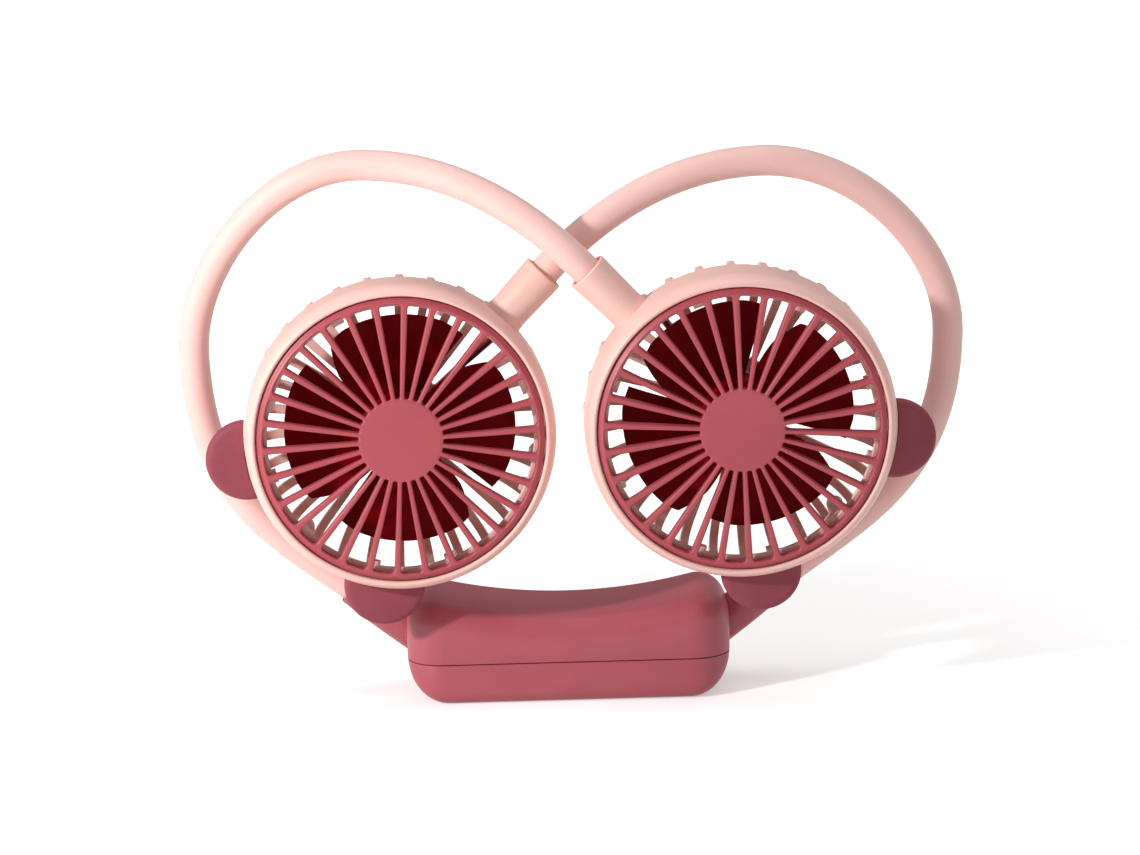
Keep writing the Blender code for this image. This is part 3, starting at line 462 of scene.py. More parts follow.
def makeGrille(side):
    g = grille
    slotReach = g["radius"] - g["ringWidth"]
    slotRoot = g["hubRadius"] + g["rootCorner"]
    straightEnds = (slotReach - g["corner"], slotRoot + g["rootCorner"])
    layers = []
    for ease, depth in roundedEdge(g["edge"], 4) + [(0, g["thickness"])]:
        z = g["top"] - depth
        half = g["outerWidth"] / 2 - ease
        innerHalf = g["innerWidth"] / 2 - ease * 0.8
        corner = g["corner"] + ease
        rails = [(reach, z, width)
                 for reach, width in arc((slotReach + ease - corner, half + corner), corner, 0, -90, 5)]
        for share in (0.25, 0.5, 0.75):
            reach = straightEnds[0] + (straightEnds[1] - straightEnds[0]) * share
            rails.append((reach, z, half + (innerHalf - half) * share))
        rails.append((straightEnds[1] - ease, z, innerHalf))
        rails.append((slotRoot - ease * 0.5, z, innerHalf + g["rootCorner"] * 0.6))
        fall = g["rimDepth"] if depth == g["thickness"] else g["shoulder"]
        middle = slotReach + ease + (g["ringWidth"] - 2 * ease) / 2
        outerRows = [(g["radius"] - ease, z - fall), (middle, z - fall * 0.35)]
        hubRows = [(g["hubRadius"] * share, z) for share in g["coreShares"]]
        layers.append({"outerRows": outerRows, "rails": rails, "hubRows": hubRows})
    bm = slottedShell(layers, g["spokes"], g["turn"][side], 4, heads[side])
    piece = newPiece(f"{side}_grille_face", bm)
    settle(piece, "grille", f"{side}_head", f"{side}_head_front_grille")
    normals = piece.modifiers.new("flat faces stay flat", "WEIGHTED_NORMAL")
    normals.keep_sharp = True


drum = {
    "radius": 40.0 * mm, "front": 12.5 * mm, "back": -1.5 * mm, "wall": 1.8 * mm,
    "edge": 0.25 * mm,          # easing of the small edges
    "taperDepth": 5.5 * mm,
    "taperTurn": 67.2,          # degrees of the tapering curve
    "taperMeets": 67.0,         # degrees, where it is aimed at the lip
    "lipRadius": 38.35 * mm,    # where the taper meets the rounded lip
    "lipRound": 0.6 * mm,
    "seat": 37.2 * mm,          # the grille drops in here
    "ledgeWidth": 3.0 * mm,     # reaches in past the ends of the slots
    "ledge": 9.2 * mm, "ledgeHeight": 1.2 * mm, "segments": 144,
    "snapAngles": (20, 64, 116, 160, 207, 239, 267, 300, 334),  # degrees, hooks that hold the grille
    "snapSize": (1.0 * mm, 3.2 * mm, 2.6 * mm),
    "snapSink": 0.4 * mm,       # how much of a hook is inside the ledge
}
collar = {
    "radius": 5.15 * mm,
    "mouth": 5.5 * mm,          # it widens a little to a rounded mouth
    "bore": 4.5 * mm, "reach": 55.5 * mm, "innerReach": 38.5 * mm,
    "flare": 0.9 * mm,          # fillet where it leaves the drum
    "flareEnd": 42.6 * mm,
    "lipReach": 42.6 * mm,      # the inner lip that the arm's ferrule turns on
    "lipThickness": 1.4 * mm, "lipRadius": 3.4 * mm, "segments": 64,
}
screws = {
    "angles": (150, 270, 30),   # degrees in the head's frame
    "reach": 36.7 * mm, "bossRadius": 2.2 * mm, "grip": 5.0 * mm,
    "holeDepth": 4.0 * mm, "shank": 0.8 * mm, "headRadius": 1.5 * mm,
    "headHeight": 1.0 * mm,
    "recess": (1.725 * mm, 0.32 * mm, 1.0 * mm),
    "bossHeight": 6.2 * mm, "gap": 0.3 * mm,
}


def screwPlaces(side):
    return [heads[side] @ Matrix.Translation(polar(screws["reach"], math.radians(angle), 0))
            for angle in screws["angles"]]


def makeHousing(side):
    d = drum
    small = d["edge"]
    inner = d["radius"] - d["wall"]
    shelf = d["seat"] - d["ledgeWidth"]
    under = d["ledge"] - d["ledgeHeight"]
    taper = (d["radius"] - d["lipRadius"]) / (1 - math.cos(math.radians(d["taperMeets"])))
    profile = [(inner + small, d["back"]), (d["radius"] - small, d["back"]), (d["radius"], d["back"] + small)]
    profile += arc((d["radius"] - taper, d["front"] - d["taperDepth"]), taper, 0, d["taperTurn"], 12,
                   (d["taperDepth"] - small) / math.sin(math.radians(d["taperTurn"])))
    profile += [(d["lipRadius"] - small, d["front"] - 0.06 * mm), (d["lipRadius"] - 2 * small, d["front"])]
    profile += arc((d["seat"] + d["lipRound"], d["front"] - d["lipRound"]), d["lipRound"], 90, 180, 5)
    profile += [(d["seat"], d["ledge"]), (shelf + small, d["ledge"]), (shelf, d["ledge"] - small),
                (shelf, under), (inner, under - 0.6 * mm), (inner, d["back"] + small)]
    piece = newPiece(f"{side}_drum", lathe(profile, d["segments"], heads[side], closed=True))

    c = collar
    mouth = (c["mouth"] - c["bore"]) / 2
    outline = [(c["radius"] + c["flare"], c["innerReach"])]
    outline += arc((c["radius"] + c["flare"], c["flareEnd"] + 0.2 * mm), c["flare"], 270, 180, 6,
                   c["flareEnd"] - c["innerReach"])
    outline += arc((c["mouth"] - mouth, c["reach"] - mouth), mouth, 0, 90, 6)
    tools = [lathe(outline, c["segments"], collarAxis(side))]
    for place in screwPlaces(side):
        boss = [(screws["bossRadius"], d["back"]), (screws["bossRadius"], screws["grip"] - small),
                (screws["bossRadius"] - small, screws["grip"])]
        tools.append(lathe(boss, 24, place))
    deep, wide, high = d["snapSize"]
    for angle in d["snapAngles"]:
        middle = (shelf - deep / 2 + d["snapSink"] / 2, 0, d["ledge"] - 0.3 * mm - high / 2)
        turned = heads[side] @ Matrix.Rotation(math.radians(angle), 4, "Z")
        tools.append(block((deep + d["snapSink"], wide, high), middle, turned))
    carve(piece, "UNION", *tools)

    lipLow = c["lipReach"] - c["lipThickness"]
    bore = [(c["bore"], c["innerReach"] - 2 * mm), (c["bore"], lipLow), (c["lipRadius"], lipLow),
            (c["lipRadius"], c["lipReach"]), (c["bore"], c["lipReach"])]
    bore += arc((c["bore"] + mouth, c["reach"] - mouth), mouth, 180, 90, 4)
    bore.append((c["bore"] + mouth, c["reach"] + 1 * mm))
    cuts = [lathe(bore, c["segments"], collarAxis(side))]
    for place in screwPlaces(side):
        cuts.append(pin(screws["shank"] + screws["gap"], d["back"] - 1 * mm, screws["holeDepth"], 16, place))
    carve(piece, "DIFFERENCE", *cuts)
    settle(piece, "pink", f"{side}_head", f"{side}_head_front_housing", 42)


cage = {
    "front": -1.8 * mm, "back": -14.5 * mm, "ringHeight": 1.0 * mm,
    "corner": 9.0 * mm, "thickness": 2.0 * mm, "ribWidth": 2.2 * mm,
    "rootWidth": 1.4 * mm, "discRadius": 13.0 * mm, "edge": 0.4 * mm, "ribs": 30,
    "turn": math.radians(96),
}


def makeCage(side):
    g = cage
    s = screws
    centreRadius = drum["radius"] - g["corner"]
    centreHeight = g["back"] + g["corner"]
    start = g["front"] - g["ringHeight"]
    layers = []
    for ease, depth in roundedEdge(g["edge"], 3) + [(0.0, g["thickness"])]:
        radius = drum["radius"] - depth
        level = g["back"] + depth
        bend = g["corner"] - depth
        half = g["ribWidth"] / 2 - ease
        rootHalf = g["rootWidth"] / 2 - ease
        rails = [(radius, start + ease, half + 0.5 * mm), (radius, start - 0.25 * mm, half + 0.12 * mm),
                 (radius, start - 0.6 * mm, half)]
        rails += [(reach, z, half) for reach, z in arc((centreRadius, centreHeight), bend, 0, -90, 8)]
        for share in (0.33, 0.66):
            reach = centreRadius + (g["discRadius"] - centreRadius) * share
            rails.append((reach, level, half + (rootHalf - half) * share))
        rails.append((g["discRadius"] + 0.5 * mm, level, rootHalf))
        rails.append((g["discRadius"] - ease, level, rootHalf + 0.35 * mm))
        outerRows = [(radius, g["front"] - (0.2 * mm if depth == 0 else 0))]
        hubRows = [(g["discRadius"] * share, level) for share in (0.8, 0.4)]
        layers.append({"outerRows": outerRows, "rails": rails, "hubRows": hubRows})
    piece = newPiece(f"{side}_ribbed_back", slottedShell(layers, g["ribs"], g["turn"], 3, heads[side]))

    bossBack = centreHeight - math.sqrt(g["corner"] ** 2 - (s["reach"] + s["bossRadius"] - centreRadius) ** 2)
    boss = [(s["bossRadius"] - 0.3 * mm, bossBack), (s["bossRadius"], bossBack + 0.3 * mm),
            (s["bossRadius"], g["front"])]
    well = s["headRadius"] + s["gap"]
    hole = s["shank"] + s["gap"]
    seat = g["front"] - s["bossHeight"]
    steps = [(well, g["back"] - 1 * mm), (well, seat), (hole, seat), (hole, g["front"] + 1 * mm)]
    carve(piece, "UNION", *[lathe(boss, 28, place) for place in screwPlaces(side)])
    notch = pin(collar["radius"] + s["gap"], drum["radius"] - g["thickness"] - 2 * mm,
                drum["radius"] + 1 * mm, 64, collarAxis(side))
    carve(piece, "DIFFERENCE", *[lathe(steps, 28, place) for place in screwPlaces(side)], notch)
    settle(piece, "pink", f"{side}_head", f"{side}_head_rear_cage", 42)


def makeScrews(side):
    # pan heads with a cross recess, and a thread drawn as plain ridges
    s = screws
    seat = cage["front"] - s["bossHeight"] - s["gap"]
    top = seat - s["headHeight"]
    length = s["holeDepth"] - 2 * s["gap"] - seat
    profile = [(s["headRadius"] * 0.55, top), (s["headRadius"] * 0.85, seat - s["headHeight"] * 0.8),
               (s["headRadius"], seat - s["headHeight"] * 0.45), (s["headRadius"], seat), (s["shank"], seat)]
    for k in range(12):
        profile.append((s["shank"] * (0.8 if k % 2 else 1.0), seat + length * (k + 1) / 13))
    profile.append((s["shank"] * 0.5, seat + length))
    long, thin, deep = s["recess"]
    for number, place in enumerate(screwPlaces(side), 1):
        piece = newPiece(f"{side}_back_screw_{number}", lathe(profile, 24, place))
        carve(piece, "DIFFERENCE", block((long, thin, deep), (0, 0, top), place),
              block((thin, long, deep), (0, 0, top), place))
        settle(piece, "nickel", f"{side}_head", f"{side}_head_cage_screw_{number}", 35)


ear = {
    "radius": 10.5 * mm, "thickness": 4.5 * mm, "top": 7.0 * mm, "round": 1.9 * mm,
    "crown": 0.3 * mm,          # the faces swell by this much
    "angles": {"left": {"outer": 39.0, "lower": 35.8}, "right": {"outer": 38.6, "lower": 37.0}},    # degrees
}


def makeEars(side):
    e = ear
    head = heads[side]
    turnWay = 1 if side == "left" else -1
    low = e["top"] - e["thickness"]
    flat = e["radius"] - e["round"]
    swell = [(flat * share, e["crown"] * share ** 2) for share in (0.02 + 0.98 * k / 4 for k in range(5))]
    profile = [(reach, low + fall) for reach, fall in swell]
    profile += arc((flat, low + e["round"] + e["crown"]), e["round"], -90, 0, 8)[1:]
    profile += arc((flat, e["top"] - e["round"] - e["crown"]), e["round"], 0, 90, 8)
    profile += [(reach, e["top"] - fall) for reach, fall in reversed(swell)]
    for tag, sign in (("outer", -turnWay), ("lower", turnWay)):
        turned = -math.pi / 2 + sign * math.radians(e["angles"][side][tag])
        place = head @ Matrix.Rotation(turned, 4, "Z") @ Matrix.Translation((drum["radius"], 0, 0))
        piece = newPiece(f"{side}_bumper_{tag}", lathe(profile, 72, place))
        clear = pin(drum["radius"] + screws["gap"], low - 1 * mm, e["top"] + 1 * mm, 144, head)
        carve(piece, "DIFFERENCE", clear)
        settle(piece, "bumper", f"{side}_head", f"{side}_head_ear_{tag}", 40)


impeller = {
    "radius": 30.0 * mm, "hubRadius": 10.2 * mm, "hubWall": 1.2 * mm,
    "hubHeight": 8.8 * mm, "hubFront": 1.2 * mm, "hubRound": 1.0 * mm, "blades": 4,
    "span": math.radians(76),
    "rootSpread": 0.14,         # how much wider a blade is at its root
    "swirl": math.radians(9),
    "rise": 7.0 * mm,
    "arch": 0.18,               # how far a blade bows, as a share of its rise
    "thickness": 1.1 * mm,
    "thinning": 0.45,           # its edges are thinner by this share
    "tipRound": 0.25, "tipDrop": 0.14, "flatten": 0.25,
    "turn": {"left": math.radians(45.5), "right": math.radians(68.5)},
}


def bladeSheet(start, matrix):
    # u runs across a blade from -1 to 1, and v along it from root to tip
    p = impeller
    across, along = 28, 12
    root = p["hubRadius"] - p["hubWall"] * 0.5
    middle = p["hubFront"] - p["hubHeight"] / 2
    bm = bmesh.new()
    grid = {}
    for i in range(across + 1):
        u = i / across * 2 - 1
        for j in range(along + 1):
            v = j / along
            reach = root + (p["radius"] - root) * v
            trim = 1 + p["rootSpread"] * (1 - v) - p["tipRound"] * max(0.0, v - 0.6) * max(0.0, u) ** 4
            reach = root + (reach - root) * (1 - p["tipDrop"] * v * max(0.0, abs(u) - 0.7))
            angle = start + p["span"] / 2 * u * trim + p["swirl"] * (1 - v)
            rise = p["rise"] / 2 * (u + p["arch"] * (1 - u * u)) * (1 - p["flatten"] * v)
            taper = 1 - p["thinning"] * max(0.0, max(abs(u) - 0.86, v - 0.9)) / 0.14
            for level in (-1, 1):
                z = middle + rise + level * p["thickness"] / 2 * taper
                grid[i, j, level] = bm.verts.new(matrix @ polar(reach, angle, z))
    for i in range(across):
        for j in range(along):
            for level in (-1, 1):
                corners = [(i, j), (i + 1, j), (i + 1, j + 1), (i, j + 1)]
                bm.faces.new([grid[a, b, level] for a, b in corners])
    border = [(i, 0) for i in range(across)] + [(across, j) for j in range(along)]
    border += [(i, along) for i in range(across, 0, -1)] + [(0, j) for j in range(along, 0, -1)]
    for (a, b), (c, d) in zip(border, border[1:] + border[:1]):
        bm.faces.new((grid[a, b, -1], grid[c, d, -1], grid[c, d, 1], grid[a, b, 1]))
    return bm


def makeImpeller(side):
    p = impeller
    head = heads[side]
    front = p["hubFront"] - 0.02 * mm
    low = p["hubFront"] - p["hubHeight"]
    ceiling = p["hubFront"] - p["hubWall"]
    inner = p["hubRadius"] - p["hubWall"]
    profile = [(p["hubRadius"] - 0.2 * mm, low), (p["hubRadius"], low + 0.2 * mm)]
    profile += arc((p["hubRadius"] - p["hubRound"], p["hubFront"] - p["hubRound"]), p["hubRound"], 0, 90, 6)
    profile += [(p["hubRadius"] * 0.5, front), (0.2 * mm, front), (0.2 * mm, ceiling),
                (inner - 0.4 * mm, ceiling), (inner, ceiling - 0.4 * mm), (inner, low)]
    piece = newPiece(f"{side}_fan_wheel", lathe(profile, 72, head, closed=True))
    plug = pin(0.4 * mm, ceiling + 0.1 * mm, p["hubFront"] - 0.1 * mm, 16, head)
    blades = [bladeSheet(p["turn"][side] + math.tau * k / p["blades"], head) for k in range(p["blades"])]
    carve(piece, "UNION", plug, *blades)
    settle(piece, "burgundy", f"{side}_impeller", f"{side}_head_impeller", 40)


motor = {
    "radius": 8.4 * mm, "round": 0.9 * mm, "foot": 10.08 * mm,
    "footHeight": 2.0 * mm, "footEdge": 0.2 * mm, "seat": -12.2 * mm,
    "height": 10.5 * mm, "shaft": 1.0 * mm, "shaftGap": 0.3 * mm,
    "bearing": 2.6 * mm, "bearingTop": -0.6 * mm,
    "ventSize": (1.6 * mm, 3.2 * mm, 0.8 * mm),
    "ventReach": 5.2 * mm,
}


def makeMotor(side):
    m = motor
    top = m["seat"] + m["height"]
    footTop = m["seat"] + m["footHeight"]
    edge = m["footEdge"]
    hole = m["shaft"] + m["shaftGap"]
    profile = [(m["foot"] - edge, m["seat"]), (m["foot"], m["seat"] + edge), (m["foot"], footTop - edge),
               (m["foot"] - edge, footTop), (m["radius"], footTop)]
    profile += arc((m["radius"] - m["round"], top - m["round"]), m["round"], 0, 90, 5)
    profile += [(m["bearing"], top), (m["bearing"], m["bearingTop"] - edge),
                (m["bearing"] - edge, m["bearingTop"]), (hole, m["bearingTop"]),
                (hole, m["seat"] + m["height"] * 0.2)]
    piece = newPiece(f"{side}_motor_can", lathe(profile, 64, heads[side]))
    turns = [heads[side] @ Matrix.Rotation(math.tau * k / 3, 4, "Z") for k in range(3)]
    carve(piece, "DIFFERENCE", *[block(m["ventSize"], (m["ventReach"], 0, top), turn) for turn in turns])
    settle(piece, "can", f"{side}_head", f"{side}_head_motor", 35)


def makeHeads():
    for side in sideSigns:
        makeGrille(side)
        makeHousing(side)
        makeCage(side)
        makeScrews(side)
        makeEars(side)
        makeImpeller(side)
        makeMotor(side)
        print("head built:", side)


# Bendable arms

arms = {
    "radius": 4.0 * mm,
    "sleeveAngle": math.radians(37.5),
    "left": {"reach": 96.2 * mm, "reachHeight": 92.0 * mm, "topHeight": 142.4 * mm, "topSide": 50.0 * mm},
    "right": {"reach": 102.0 * mm, "reachHeight": 93.5 * mm, "topHeight": 140.2 * mm, "topSide": 53.0 * mm},
    "straight": 2.0 * mm,       # run of the arm outside the collar that stays straight
    "coverEnd": 45.8 * mm,      # how far down the collar the silicone goes
    "wideDepth": 0.10, "topDepth": 0.42, "wideLean": 0.5, "topLean": 0.6,
    "rootPull": 0.37, "lowPull": 0.62, "widePull": 0.49, "topPull": 0.52, "fallPull": 0.42, "endPull": 0.25,
    "bendStart": 0.3 * mm,      # heights above the sleeve between which the cover gives when the arm leans
    "bendEnd": 21.0 * mm,
    "ballAngles": (72, 58, 44, 30, 15),     # degrees, the rounded end inside the sleeve
}


def curvePoints(start, startPull, endPull, end, count):
    points = []
    for k in range(count):
        t = k / count
        s = 1 - t
        points.append(start * s ** 3 + startPull * 3 * s * s * t + endPull * 3 * s * t * t + end * t ** 3)
    return points


def armRoute(side):
    # the same curve as the solid arm follows: out of the sleeve, round the loop and down into the collar
    a = arms
    sign = sideSigns[side]
    shape = a[side]
    head = heads[carriers[side]]
    root = Vector(joints[side + "_arm_lean"]["pos_m"])
    rootWay = Vector((sign * math.cos(a["sleeveAngle"]), 0, math.sin(a["sleeveAngle"])))
    collarWay = (head @ Vector((0, 1, 0)) - head.translation).normalized()
    leave = head.translation + collarWay * (collar["reach"] + a["straight"])
    depth = leave.y - root.y
    wide = Vector((sign * shape["reach"], root.y + depth * a["wideDepth"], shape["reachHeight"]))
    top = Vector((sign * shape["topSide"], root.y + depth * a["topDepth"], shape["topHeight"]))
    rise = wide.z - root.z
    over = top.z - wide.z
    across = abs(wide.x - top.x)
    last = (top - leave).length
    up = Vector((0, depth * a["wideLean"] / top.z, 1)).normalized()
    inward = Vector((-sign, depth * a["topLean"] / shape["reach"], 0)).normalized()
    points = []
    for start, startPull, endPull, finish, count in (
        (root, rootWay * rise * a["rootPull"], -up * rise * a["lowPull"], wide, 60),
        (wide, up * over * a["widePull"], -inward * across * a["topPull"], top, 50),
        (top, inward * last * a["fallPull"], collarWay * last * a["endPull"], leave, 60),
    ):
        points += curvePoints(start, start + startPull, finish + endPull, finish, count)
    end = head.translation + collarWay * a["coverEnd"]
    points += [leave.lerp(end, k / 4) for k in range(5)]
    return points, rootWay


def makeArm(side):
    a = arms
    points, rootWay = armRoute(side)
    turns = [math.radians(angle) for angle in a["ballAngles"]]
    ball = [points[0] - rootWay * a["radius"] * math.sin(turn) for turn in turns]
    radii = [a["radius"] * math.cos(turn) for turn in turns] + [a["radius"]] * len(points)
    piece = newPiece(f"{side}_arm_skin", tube(ball + points, radii, 40))
    settle(piece, "silicone", None, f"{side}_arm_cover", 50)
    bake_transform(piece)


ferrule = {
    "radius": 4.2 * mm, "neck": 3.1 * mm, "start": 38.3 * mm, "end": 45.5 * mm,
    "lipLow": 41.2 * mm, "lipHigh": 42.6 * mm, "gap": 0.3 * mm, "edge": 0.25 * mm,
}


def makeFerrule(side):
    # turned bronze that the collar swivels on, shown only down the collar's bore
    f = ferrule
    low = f["lipLow"] - f["gap"]
    high = f["lipHigh"] + f["gap"]
    inset = f["radius"] - f["edge"]
    profile = [(inset, f["start"]), (f["radius"], f["start"] + f["edge"]), (f["radius"], low),
               (f["neck"], low), (f["neck"], high), (f["radius"], high),
               (f["radius"], f["end"] - f["edge"]), (inset, f["end"])]
    piece = newPiece(f"{side}_arm_end_fitting", lathe(profile, 48, collarAxis(carriers[side])))
    settle(piece, "bronze", f"{side}_arm", f"{side}_arm_ferrule")


# Battery pack

pack = {
    "half": 42.7 * mm, "depth": 34.0 * mm, "waist": 22.6 * mm,
    "saddle": 140.0 * mm,       # radius of the curve that lies on the neck
    "foot": 11.0 * mm, "shoulder": 9.5 * mm, "plan": 10.0 * mm,
    "edges": (4.0 * mm, 6.5 * mm, 3.5 * mm, 3.5 * mm),  # upper back, upper front, lower front, lower back
    "wall": 1.8 * mm, "seam": 11.0 * mm, "seamGap": 0.3 * mm, "seamEdge": 0.22 * mm,
    "outerSteps": (10, 16, 40),     # points round an edge, rings at each end, rings between
    "innerSteps": (5, 8, 24),
}
controls = {
    "height": 14.2 * mm, "buttonRadius": 2.2 * mm, "buttonStand": 0.8 * mm,
    "buttonLip": 0.6 * mm, "buttonRound": 0.35 * mm, "holeRound": 0.3 * mm,
    "portPlace": -16.0 * mm, "portWidth": 9.0 * mm, "portHeight": 3.2 * mm,
    "portWall": 0.4 * mm, "portDepth": 3.8 * mm,
    "tongue": (6.2 * mm, 3.3 * mm, 0.75 * mm),
    "lensPlace": 9.0 * mm, "lensRadius": 1.1 * mm, "gap": 0.3 * mm,
}
sleeve = {
    "exit": 16.3 * mm, "setBack": 5.0 * mm, "length": 19.0 * mm, "root": 5.3 * mm,
    "mouth": 4.8 * mm,
    "rootRun": 5.07 * mm,       # how far the tube runs on into the pack's end
    "plain": 3.0 * mm,          # the stretch before it tapers
    "seat": 4.3 * mm, "lip": 0.5 * mm, "spigot": 2.7 * mm, "hole": 3.0 * mm,
    "holeReach": 5.4 * mm,
}


def cornerDrop(reach, half, radius):
    over = max(0.0, reach - (half - radius))
    return radius - math.sqrt(max(0.0, radius ** 2 - over ** 2))


def packRing(x, grow, steps):
    # the pack's outline at x, from the upper back corner forwards, downwards and back
    p = pack
    half = p["half"] + grow
    saddle = p["saddle"] - grow
    top = p["waist"] + p["saddle"] - math.sqrt(saddle ** 2 - x ** 2)
    top -= cornerDrop(abs(x), half, p["shoulder"] + grow)
    low = -grow + cornerDrop(abs(x), half, p["foot"] + grow)
    deep = p["depth"] / 2 + grow - cornerDrop(abs(x), half, p["plan"] + grow)
    edges = [edge + grow for edge in p["edges"]]
    room = min(1.0, (top - low) / (edges[1] + edges[2]))
    corners = [(deep, top, -1, -1), (-deep, top, 1, -1), (-deep, low, 1, 1), (deep, low, -1, 1)]
    points = []
    for quarter, ((y, z, inY, inZ), edge) in enumerate(zip(corners, edges)):
        edge = edge * room
        points += arc((y + inY * edge, z + inZ * edge), edge, 90 * quarter, 90 * quarter + 90, steps)
    return [Vector((x, *point)) for point in points]


def packForm(grow, detail):
    steps, endSteps, middleSteps = detail
    half = pack["half"] + grow
    foot = pack["foot"] + grow
    ends = [half - foot + foot * math.sin(math.pi / 2 * (1 - k / endSteps)) for k in range(endSteps)]
    places = ends + [(half - foot) * (1 - 2 * k / middleSteps) for k in range(middleSteps + 1)]
    places += [-x for x in reversed(ends)]
    bm = bmesh.new()
    return coverRings(bm, [[bm.verts.new(point) for point in packRing(x, grow, steps)] for x in places])


def portForm(grow, start, end):
    c = controls
    radius = c["portHeight"] / 2 + grow
    straight = (c["portWidth"] - c["portHeight"]) / 2
    bm = bmesh.new()
    outline = arc((c["portPlace"] + straight, c["height"]), radius, -90, 90, 12)
    outline += arc((c["portPlace"] - straight, c["height"]), radius, 90, 270, 12)
    return coverRings(bm, [[bm.verts.new((x, y, z)) for x, z in outline] for y in (start, end)])


def softenSeam(piece, height):
    # a hair of rounding on the outer edge of the joint, which catches the light
    mesh = piece.data
    weights = mesh.attributes.new("bevel_weight_edge", "FLOAT", "EDGE")
    for edge in mesh.edges:
        a, b = (mesh.vertices[v].co for v in edge.vertices)
        outside = min(abs(a.x) - pack["half"], abs(a.y) - pack["depth"] / 2, key=abs)
        flat = abs(a.z - height) < 1e-6 and abs(b.z - height) < 1e-6
        weights.data[edge.index].value = 1.0 if flat and outside > -pack["wall"] / 2 else 0.0
    bevel = piece.modifiers.new("seam edge", "BEVEL")
    bevel.limit_method = "WEIGHT"
    bevel.width = pack["seamEdge"]
    bevel.segments = 2
    applyModifiers(piece)


def rearAxis(x):
    # out of the pack's rear face at the controls' height
    return alongAxis((x, pack["depth"] / 2, controls["height"]), (0, 1, 0))


def sleeveAxis(sign):
    s = sleeve
    way = (sign * math.cos(arms["sleeveAngle"]), 0, math.sin(arms["sleeveAngle"]))
    return alongAxis((sign * pack["half"], s["setBack"], s["exit"]), way)


def makePack():
    p = pack
    c = controls
    back = p["depth"] / 2
    halves = []
    lowSeam = p["seam"] - p["seamGap"] / 2
    highSeam = p["seam"] + p["seamGap"] / 2
    for name, level, low, high in (("pack_top_case", highSeam, highSeam, 60 * mm),
                                   ("pack_bottom_case", lowSeam, -10 * mm, lowSeam)):
        piece = newPiece(name, packForm(0, p["outerSteps"]))
        carve(piece, "DIFFERENCE", packForm(-p["wall"], p["innerSteps"]))
        slab = block((200 * mm, 100 * mm, high - low), (0, 0, (low + high) / 2), Matrix())
        carve(piece, "INTERSECT", slab)
        softenSeam(piece, level)
        halves.append(piece)
    upper, lower = halves
    soft = c["holeRound"]
    cuts = []
    for x, radius in ((0, c["buttonRadius"]), (c["lensPlace"], c["lensRadius"])):
        hole = radius + c["gap"]
        ends = [(hole, -p["wall"] * 2), (hole, -soft), (hole + soft * 0.3, -soft * 0.3), (hole + soft, 0),
                (hole + soft, 1 * mm)]
        cuts.append(lathe(ends, 40, rearAxis(x)))
    cuts.append(portForm(c["gap"], back - p["wall"] * 2, back + 1 * mm))
    for sign in sideSigns.values():
        cuts.append(pin(sleeve["hole"], -sleeve["holeReach"], sleeve["holeReach"], 32, sleeveAxis(sign)))
    carve(upper, "DIFFERENCE", *cuts)
    settle(upper, "rose", "pack", "pack_upper_shell", 32)
    settle(lower, "rose", "pack", "pack_lower_shell", 32)
    print("pack built")


def makeSleeve(side):
    s = sleeve
    axis = sleeveAxis(sideSigns[side])
    mouth = s["length"] - s["lip"]
    lip = (s["mouth"] - s["seat"]) * 0.5
    profile = [(s["root"], -s["rootRun"])]
    for k in range(9):
        share = k / 8
        profile.append((s["root"] + (s["mouth"] - s["root"]) * share ** 1.5,
                        s["plain"] + (mouth - lip - s["plain"]) * share))
    profile += arc((s["mouth"] - lip, mouth - lip), lip, 0, 180, 8)[1:]
    profile += arc((0, s["length"]), s["seat"], -10, -84, 5)
    piece = newPiece(f"{side}_arm_socket", lathe(profile, 56, axis))
    carve(piece, "DIFFERENCE", packForm(0.05 * mm, pack["outerSteps"]))
    carve(piece, "UNION", pin(s["spigot"], -5.0 * mm, 6.0 * mm, 32, axis))
    settle(piece, "rose", "pack", f"{side}_sleeve", 40)


def makeControls():
    c = controls
    back = pack["depth"] / 2
    low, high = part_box("power_button")
    inner = low.y - back
    lipBack = -pack["wall"] - c["gap"]
    radius = c["buttonRadius"]
    soft = c["buttonRound"]
    profile = [(radius, inner), (radius + c["buttonLip"], inner), (radius + c["buttonLip"], lipBack),
               (radius, lipBack)]
    profile += arc((radius - soft, c["buttonStand"] - soft), soft, 0, 90, 5)
    profile += [(radius * 0.6, c["buttonStand"] - 0.12 * mm), (radius * 0.2, c["buttonStand"] - 0.18 * mm)]
    piece = newPiece("button_cap", lathe(profile, 48, rearAxis(0)))
    settle(piece, "pink", "power_button", "power_button")

    low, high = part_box("indicator_lens")
    radius = c["lensRadius"]
    profile = [(radius, low.y - back), (radius, -0.35 * mm), (radius * 0.85, -0.12 * mm), (radius * 0.45, 0)]
    piece = newPiece("light_guide", lathe(profile, 32, rearAxis(c["lensPlace"])))
    settle(piece, "lens", "pack", "indicator_lens")

    low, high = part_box("charge_port")
    piece = newPiece("charge_socket", portForm(0, low.y, high.y))
    floor = high.y - c["portDepth"]
    carve(piece, "DIFFERENCE", portForm(-c["portWall"], floor, high.y + 1 * mm))
    carve(piece, "UNION", block(c["tongue"], (c["portPlace"], floor + 1.25 * mm, c["height"]), Matrix()))
    settle(piece, "nickel", "pack", "charge_port", 30)
    print("sockets and controls built")


lead = {"radius": 0.34 * mm, "space": 0.7 * mm}


